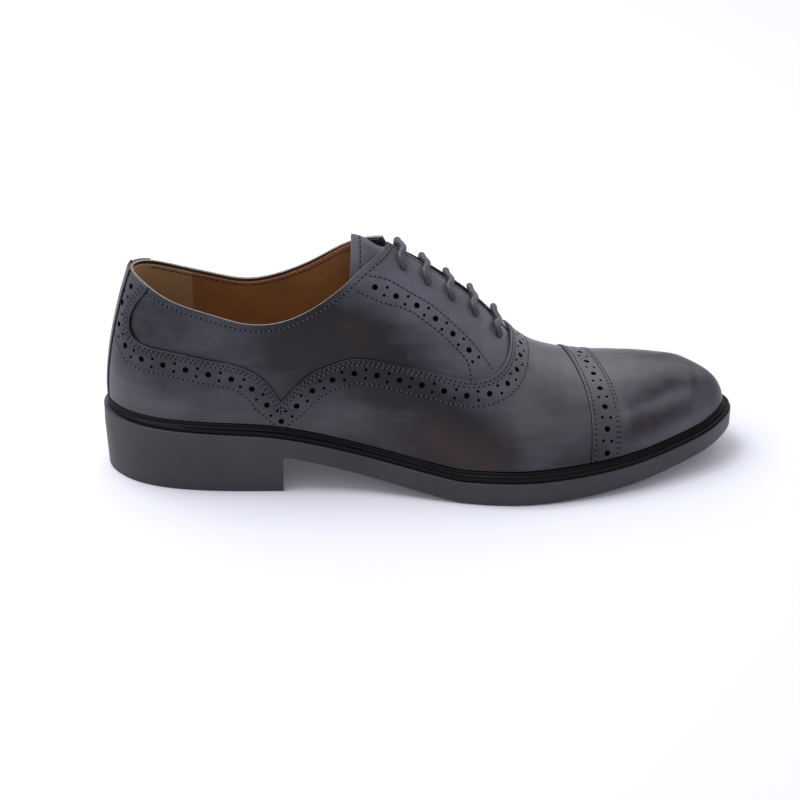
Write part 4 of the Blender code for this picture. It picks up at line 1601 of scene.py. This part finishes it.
class SHOE_OT_upper(bpy.types.Operator):
    """Makes the quarters, their perforated facings and the lining"""

    bl_idname = "shoe.upper"
    bl_label = "Quarters and lining"

    def execute(self, context):
        sizes = context.scene.shoe_sizes
        materials = [finish("calf"), finish("hole"), finish("edge")]
        quarters = add_piece("quarters", crease(grid_shape(last_surface())), materials)
        add_shell(quarters, QUARTER_LEATHER, outwards=False, rim=2)
        middles = [nearest((upper + lower) / 2)[0][:-4] for upper, lower in facing_rows()]
        lines = [(middle, FACING_HOLES) for middle in middles]
        cutters = punched(quarters, lines, 0, FACING_PUNCH, sizes)
        eyelets = punch("eyelets", eyelet_frames(), sizes.eyelet, EYELET_PUNCH)
        cutters.append(add_cut(quarters, eyelets, "DIFFERENCE"))
        dress_leather(quarters, cutters, "upper")
        surface = last_surface(LINING_COLUMNS, LINING_ROWS, LINING_BELOW_RIM)
        lining = add_piece("lining", push(grid_shape(surface), -LINING_DEPTH), [finish("lining")])
        add_shell(lining, LINING_THICKNESS, outwards=False)
        settle_piece(lining)
        dress(lining, "lining_leather")
        return {"FINISHED"}


def lace_path(number):
    """Middle of one lace bar, from eyelet to eyelet over the crown, swaying as it was pulled."""
    x = np.linspace(LACE_FIRST, LACE_LAST, LACE_BARS)[number]
    points = []
    for share in np.linspace(-0.5, 0.5, LACE_POINTS):
        sway = table_at(LACE_SWAY, share) * MM
        turn, climb = over_crown(x - LACE_SKEW * share + sway, EYELET_SPREAD * share)
        sag = LACE_SAG * half_gap(x) * math.exp(-((share / LACE_SAG_REACH) ** 2))
        lift = LACE_DIAMETER / 2 + GAP - sag
        points.append(wall(turn, climb) + lift * wall_normal(turn, climb))
    return np.array(points)


def over_crown(x, aside):
    """Turn and climb at a distance from the crown line, measured down the wall over x."""
    turn = turn_of_crown(x)
    turn = TURN - turn if aside > 0 else turn
    climb = np.linspace(1, 0, CLIMB_SWEEP)
    run = run_along(wall(turn + 0 * climb, climb))
    return turn, np.interp(abs(aside), run, climb)


def lace_ends(path):
    """Where a lace bar goes down, a little past both ends of its path."""
    pairs = ((path[0], path[4]), (path[-1], path[-5]))
    return [end + (end - inner) * LACE_PAST_END for end, inner in pairs]


def eyelet_frames():
    """Frames of the lace holes on the leather."""
    places = [end for number in range(LACE_BARS) for end in lace_ends(lace_path(number))]
    return frames_on(nearest(np.array(places))[0], 0)


class SHOE_OT_overlays(bpy.types.Operator):
    """Makes the galosh, toe cap and back strip with their perforations"""

    bl_idname = "shoe.overlays"
    bl_label = "Overlays"

    def execute(self, context):
        sizes = context.scene.shoe_sizes
        self.galosh(sizes)
        self.cap(sizes)
        self.strip()
        return {"FINISHED"}

    def skin(self, name, thickness):
        """A second skin of leather all over the upper, to be cut to its outline."""
        shape = push(crease(grid_shape(last_surface()[:, 1:])), GAP)
        piece = add_piece(name, shape, [finish("calf"), finish("hole")])
        add_shell(piece, thickness, outwards=True)
        return piece

    def galosh(self, sizes):
        back = side_path(GALOSH_BACK, GALOSH_STEPS)
        front = side_path(GALOSH_FRONT, GALOSH_CUT_STEPS)
        high = 1.2 * INSTEP_HEIGHT
        low = -0.2 * BACK_HEIGHT
        ahead = 1.1 * SOLE_LENGTH
        behind = -0.1 * SOLE_LENGTH
        corners = [(front[-1][0], high), (ahead, high), (ahead, low), (behind, low)]
        corners += [(behind, high), (back[0][0], high)]
        outline = np.concatenate([back, front[1:], corners])
        piece = self.skin("galosh_leather", GALOSH_THICKNESS)
        cutters = [
            add_cut(piece, slab("galosh_outline", outline, BALL_WIDTH, True), "INTERSECT"),
            add_cut(piece, cap_slab("cap_room", GAP), "DIFFERENCE"),
            add_cut(piece, strip_slab("strip_room", GAP), "DIFFERENCE"),
        ]
        rows = galosh_rows(GALOSH_HOLE_ROW, NOTCH_HOLES)
        lines = zip(rows, (GALOSH_SIDE_HOLES, GALOSH_SIDE_HOLES, GALOSH_OVER_HOLES))
        depth = OVERLAY_PUNCH * GALOSH_THICKNESS
        cutters += punched(piece, lines, GAP + GALOSH_THICKNESS, depth, sizes)
        dress_leather(piece, cutters, "galosh")

    def cap(self, sizes):
        piece = self.skin("cap_leather", CAP_THICKNESS)
        cutters = [add_cut(piece, cap_slab("cap_outline", 0), "INTERSECT")]
        lines = [(cap_row(CAP_HOLE_ROW), CAP_HOLES)]
        depth = OVERLAY_PUNCH * CAP_THICKNESS
        cutters += punched(piece, lines, GAP + CAP_THICKNESS, depth, sizes)
        dress_leather(piece, cutters, "toe_cap")

    def strip(self):
        piece = self.skin("strip_leather", STRIP_THICKNESS)
        cutters = [add_cut(piece, strip_slab("strip_outline", 0), "INTERSECT")]
        dress_leather(piece, cutters, "back_strip")


def cap_slab(name, clearance):
    """Plan of the toe cap, ahead of its back edge."""
    edge = cap_path(CAP_CUT_STEPS) - (clearance, 0)
    ahead = 1.1 * SOLE_LENGTH
    outline = np.concatenate([edge, [(ahead, edge[-1][1]), (ahead, edge[0][1])]])
    return slab(name, outline, 2 * INSTEP_HEIGHT, False)


def strip_slab(name, clearance):
    """Plan of the back strip."""
    half = STRIP_WIDTH / 2 + clearance
    reach = 0.12 * SOLE_LENGTH
    outline = [(-reach, -half), (reach, -half), (reach, half), (-reach, half)]
    return slab(name, outline, 2 * INSTEP_HEIGHT, False)


class SHOE_OT_seams(bpy.types.Operator):
    """Sews the stitch rows of the leather pieces"""

    bl_idname = "shoe.seams"
    bl_label = "Seams"

    def execute(self, context):
        sizes = context.scene.shoe_sizes
        galosh = [row for distance in GALOSH_SEAMS for row in galosh_rows(distance)]
        galosh += galosh_rows(GALOSH_BAND, NOTCH_SEAM)
        stitch_rows("galosh_stitches", galosh, GAP + GALOSH_THICKNESS, sizes)
        cap = [cap_row(distance) for distance in CAP_SEAMS]
        stitch_rows("cap_stitches", cap, GAP + CAP_THICKNESS, sizes)
        facing = [row for pair in facing_rows() for row in pair]
        collar, throat = self.rim_rows()
        stitch_rows("facing_stitches", facing + collar + throat, THREAD_LIFT, sizes)
        stitch_rows("lining_stitches", collar, -WALL, sizes)
        self.beads()
        return {"FINISHED"}

    def beads(self):
        """Rolled edges along the overlays, and inked grooves beside the back strip."""
        behind, over = galosh_edges()
        lines = [("galosh_edge_front", over, -1, GAP + GALOSH_THICKNESS)]
        for name, line, side in zip(("lateral", "medial"), behind, (LATERAL, MEDIAL)):
            line = line[line[:, 2] <= rim_height(line, side == MEDIAL) - BEAD_BELOW_RIM]
            lines.append(("galosh_edge_" + name, line, side, GAP + GALOSH_THICKNESS))
        lines.append(("cap_edge", cap_edge(), -1, GAP + CAP_THICKNESS))
        for name, line, across, lift in lines:
            places, normals = nearest(row_beside(line, across * EDGE_INSET))
            path = places + normals * (lift - EDGE_SINK)
            piece = tube(name, path, EDGE_RADIUS, BEAD_SIDES, [finish("calf")])
            store_patina_and_painted_light(piece)
            dress(piece, "polished_leather")
        low = seat(0.0) + RAND_HEIGHT + 2 * RAND_CLEARANCE
        high = rim_height(np.zeros((1, 3)), False)[0] - INK_BELOW_RIM
        heights = np.linspace(low, high, INK_POINTS)
        for name, side in (("lateral", LATERAL), ("medial", MEDIAL)):
            aside = side * (STRIP_WIDTH / 2 + INK_ASIDE)
            line = cast([(-SOLE_LENGTH, aside, z) for z in heights], (1, 0, 0))
            places, normals = nearest(line)
            path = places + normals * (GAP + STRIP_THICKNESS - INK_SINK)
            piece = tube("strip_ink_" + name, path, INK_RADIUS, BEAD_SIDES, [finish("rand")])
            dress(piece, "welt_black")

    def rim_rows(self):
        """Rows below the collar's edge and beside the throat's, on both sides."""
        turn, rim = rim_climb()
        edge = wall(turn, rim)
        x = crown_reach(turn)
        collar, throat = [], []
        for side in (turn <= math.pi, turn >= math.pi):
            line = edge[side & (x < THROAT_TOP) & (edge[:, 0] > COLLAR_SEAM_START)]
            collar.append(row_beside(line, -COLLAR_SEAM))
            line = edge[side & (x >= THROAT_TOP) & (x <= THROAT_SEAM_END)]
            throat.append(row_beside(line, -THROAT_SEAM))
        return collar, throat


class SHOE_OT_tongue(bpy.types.Operator):
    """Makes the tongue with its edge seam"""

    bl_idname = "shoe.tongue"
    bl_label = "Tongue"

    def execute(self, context):
        points = self.surface()
        materials = [finish("calf"), finish("lining"), finish("edge")]
        shape = grid_shape(points)
        tree = BVHTree.FromBMesh(shape)
        piece = add_piece("tongue_leather", shape, materials)
        add_shell(piece, TONGUE_THICKNESS, outwards=False, inner=1, rim=2)
        dress_leather(piece, (), "tongue")
        hem = points[2, 3:-3]
        stitch_rows("tongue_stitches", [hem], THREAD_LIFT, context.scene.shoe_sizes, tree)
        return {"FINISHED"}

    def surface(self):
        """Rows of points across the tongue, from side to side under the facings."""
        rows = TONGUE_ROWS
        x = np.linspace(TONGUE_BACK, TONGUE_FRONT, TONGUE_COLUMNS)
        turn = turn_of_crown(x)
        width = np.linspace(TONGUE_WIDTH_BACK, TONGUE_WIDTH_FRONT, TONGUE_COLUMNS)
        bend = THROAT_TOP + TONGUE_BEND
        behind = np.clip((bend - x) / (bend - TONGUE_BACK), 0, None)
        drop = TONGUE_DROP * behind**2
        # It sags just ahead of its end, where the wearer's foot isn't there to hold it up
        ahead = (x - THROAT_TOP + TONGUE_SAG_AHEAD) / TONGUE_SAG_REACH
        drop = drop + TONGUE_SAG * np.exp(-(ahead**2))

        def side(turns):
            def reached(points, medial):
                top = crown(points[..., 0])
                aside = np.abs(points[..., 1] - top[..., 1])
                low = top[..., 2] - points[..., 2] <= TONGUE_DEPTH
                return (aside <= width[:, None] / 2) & low

            start = first_climb(turns, reached)[:, None]
            climb = start + (1 - start) * np.linspace(0, 1, rows + 1)
            every = turns[:, None] + 0 * climb
            under = wall(every, climb) - (WALL + TONGUE_CLEARANCE) * wall_normal(every, climb)
            return under - drop[:, None, None] * np.array([0, 0, 1])

        lateral, medial = side(turn), side(TURN - turn)
        points = np.concatenate([lateral, medial[:, -2::-1]], 1)
        # Rounds the ridge where both sides meet, which the thickness would turn inside out
        first, last = rows - CREST_ROWS, rows + CREST_ROWS + 1
        for _ in range(CREST_PASSES):
            beside = points[:, first - 1:last - 1] + points[:, first + 1:last + 1]
            points[:, first:last] = (beside + 2 * points[:, first:last]) / 4
        # Its back edge leans back from the crest down on the outer side
        near_end = np.clip(1 - (x - TONGUE_BACK) / TONGUE_LEAN_REACH, 0, 1)[:, None]
        depth = points[:, rows:rows + 1, 2] - points[..., 2]
        depth[:, rows:] = 0
        points[..., 0] += near_end * (TONGUE_TIP - TONGUE_LEAN * depth)
        return points


class SHOE_OT_laces(bpy.types.Operator):
    """Runs the lace over the facings and through its holes"""

    bl_idname = "shoe.laces"
    bl_label = "Lace"

    def execute(self, context):
        for number in range(LACE_BARS):
            path = lace_path(number)
            places, normals = nearest(lace_ends(path))
            over = places + normals * LACE_OVER
            under = places - normals * LACE_UNDER
            way = smooth_path([under[0], over[0], *path[4:-4:4], over[1], under[1]], LACE_STEPS)
            name = f"lace_{number + 1}"
            piece = tube(name, way, LACE_DIAMETER / 2, LACE_SIDES, [finish("lace")])
            dress(piece, "waxed_lace", f"lace_bar_{number + 1}")
        return {"FINISHED"}


class SHOE_OT_stage(bpy.types.Operator):
    """Sets the floor, the soft lights and the camera"""

    bl_idname = "shoe.stage"
    bl_label = "Studio"

    def execute(self, context):
        shape = bmesh.new()
        bmesh.ops.create_grid(shape, x_segments=2, y_segments=2, size=FLOOR_SIZE)
        floor = add_piece("studio_floor", shape, [finish("floor")])
        world = bpy.data.worlds.new("Studio")
        world.use_nodes = True
        background = world.node_tree.nodes["Background"]
        background.inputs["Color"].default_value = SKY
        background.inputs["Strength"].default_value = SKY_STRENGTH
        context.scene.world = world
        context.scene.view_settings.view_transform = "Standard"
        for softbox in SOFTBOXES:
            self.light(*softbox)
        self.camera(context.scene)
        return {"FINISHED"}

    def light(self, name, place, size, power):
        lamp = bpy.data.lights.new(name, "AREA")
        lamp.shape = "RECTANGLE"
        lamp.size, lamp.size_y = size
        lamp.energy = power
        holder = bpy.data.objects.new(name, lamp)
        holder.location = place
        aim = Vector(LIGHT_AIM) - Vector(place)
        holder.rotation_euler = aim.to_track_quat("-Z", "Y").to_euler()
        bpy.context.scene.collection.objects.link(holder)

    def camera(self, scene):
        side, lift = VIEW_SIDE, VIEW_ELEVATION
        right = Vector((math.cos(side), -math.sin(side), 0))
        ahead = Vector((math.sin(side) * math.cos(lift), math.cos(side) * math.cos(lift),
                        -math.sin(lift)))
        up = right.cross(ahead)
        aim = Vector((VIEW_AIM, 0, 0)) + up * VIEW_RISE
        place = (aim - ahead * VIEW_DISTANCE) * MM - Vector(centre())
        turned = right * math.cos(VIEW_ROLL) + up * math.sin(VIEW_ROLL)
        upright = up * math.cos(VIEW_ROLL) - right * math.sin(VIEW_ROLL)
        lens = bpy.data.cameras.new("Camera")
        lens.sensor_width = SENSOR
        lens.lens = VIEW_SCALE * VIEW_DISTANCE * SENSOR / PHOTO_WIDTH
        lens.clip_start = VIEW_NEAR
        holder = bpy.data.objects.new("Camera", lens)
        holder.matrix_world = Matrix((
            (turned.x, upright.x, -ahead.x, place.x),
            (turned.y, upright.y, -ahead.y, place.y),
            (turned.z, upright.z, -ahead.z, place.z),
            (0, 0, 0, 1),
        ))
        scene.collection.objects.link(holder)
        scene.camera = holder


class SHOE_PT_panel(bpy.types.Panel):
    """Sizes, colours and makers of the shoe"""

    bl_label = "Brogue shoe"
    bl_idname = "SHOE_PT_panel"
    bl_space_type = "VIEW_3D"
    bl_region_type = "UI"
    bl_category = "Shoe"

    def draw(self, context):
        for group in (context.scene.shoe_sizes, context.scene.shoe_colours):
            column = self.layout.column()
            for name in group.__annotations__:
                column.prop(group, name)
        for operator in OPERATORS:
            self.layout.operator(operator.bl_idname)


OPERATORS = (
    SHOE_OT_stage,
    SHOE_OT_bottom,
    SHOE_OT_upper,
    SHOE_OT_overlays,
    SHOE_OT_seams,
    SHOE_OT_tongue,
    SHOE_OT_laces,
)
CLASSES = (ShoeSizes, ShoeColours, *OPERATORS, SHOE_PT_panel)


def register():
    for each in CLASSES:
        bpy.utils.register_class(each)
    bpy.types.Scene.shoe_sizes = PointerProperty(type=ShoeSizes)
    bpy.types.Scene.shoe_colours = PointerProperty(type=ShoeColours)


def unregister():
    del bpy.types.Scene.shoe_sizes
    del bpy.types.Scene.shoe_colours
    for each in reversed(CLASSES):
        bpy.utils.unregister_class(each)


def main():
    register()
    bpy.ops.shoe.stage()
    bpy.ops.shoe.bottom()
    bpy.ops.shoe.upper()
    bpy.ops.shoe.overlays()
    bpy.ops.shoe.seams()
    bpy.ops.shoe.tongue()
    bpy.ops.shoe.laces()


if __name__ == "__main__":
    main()
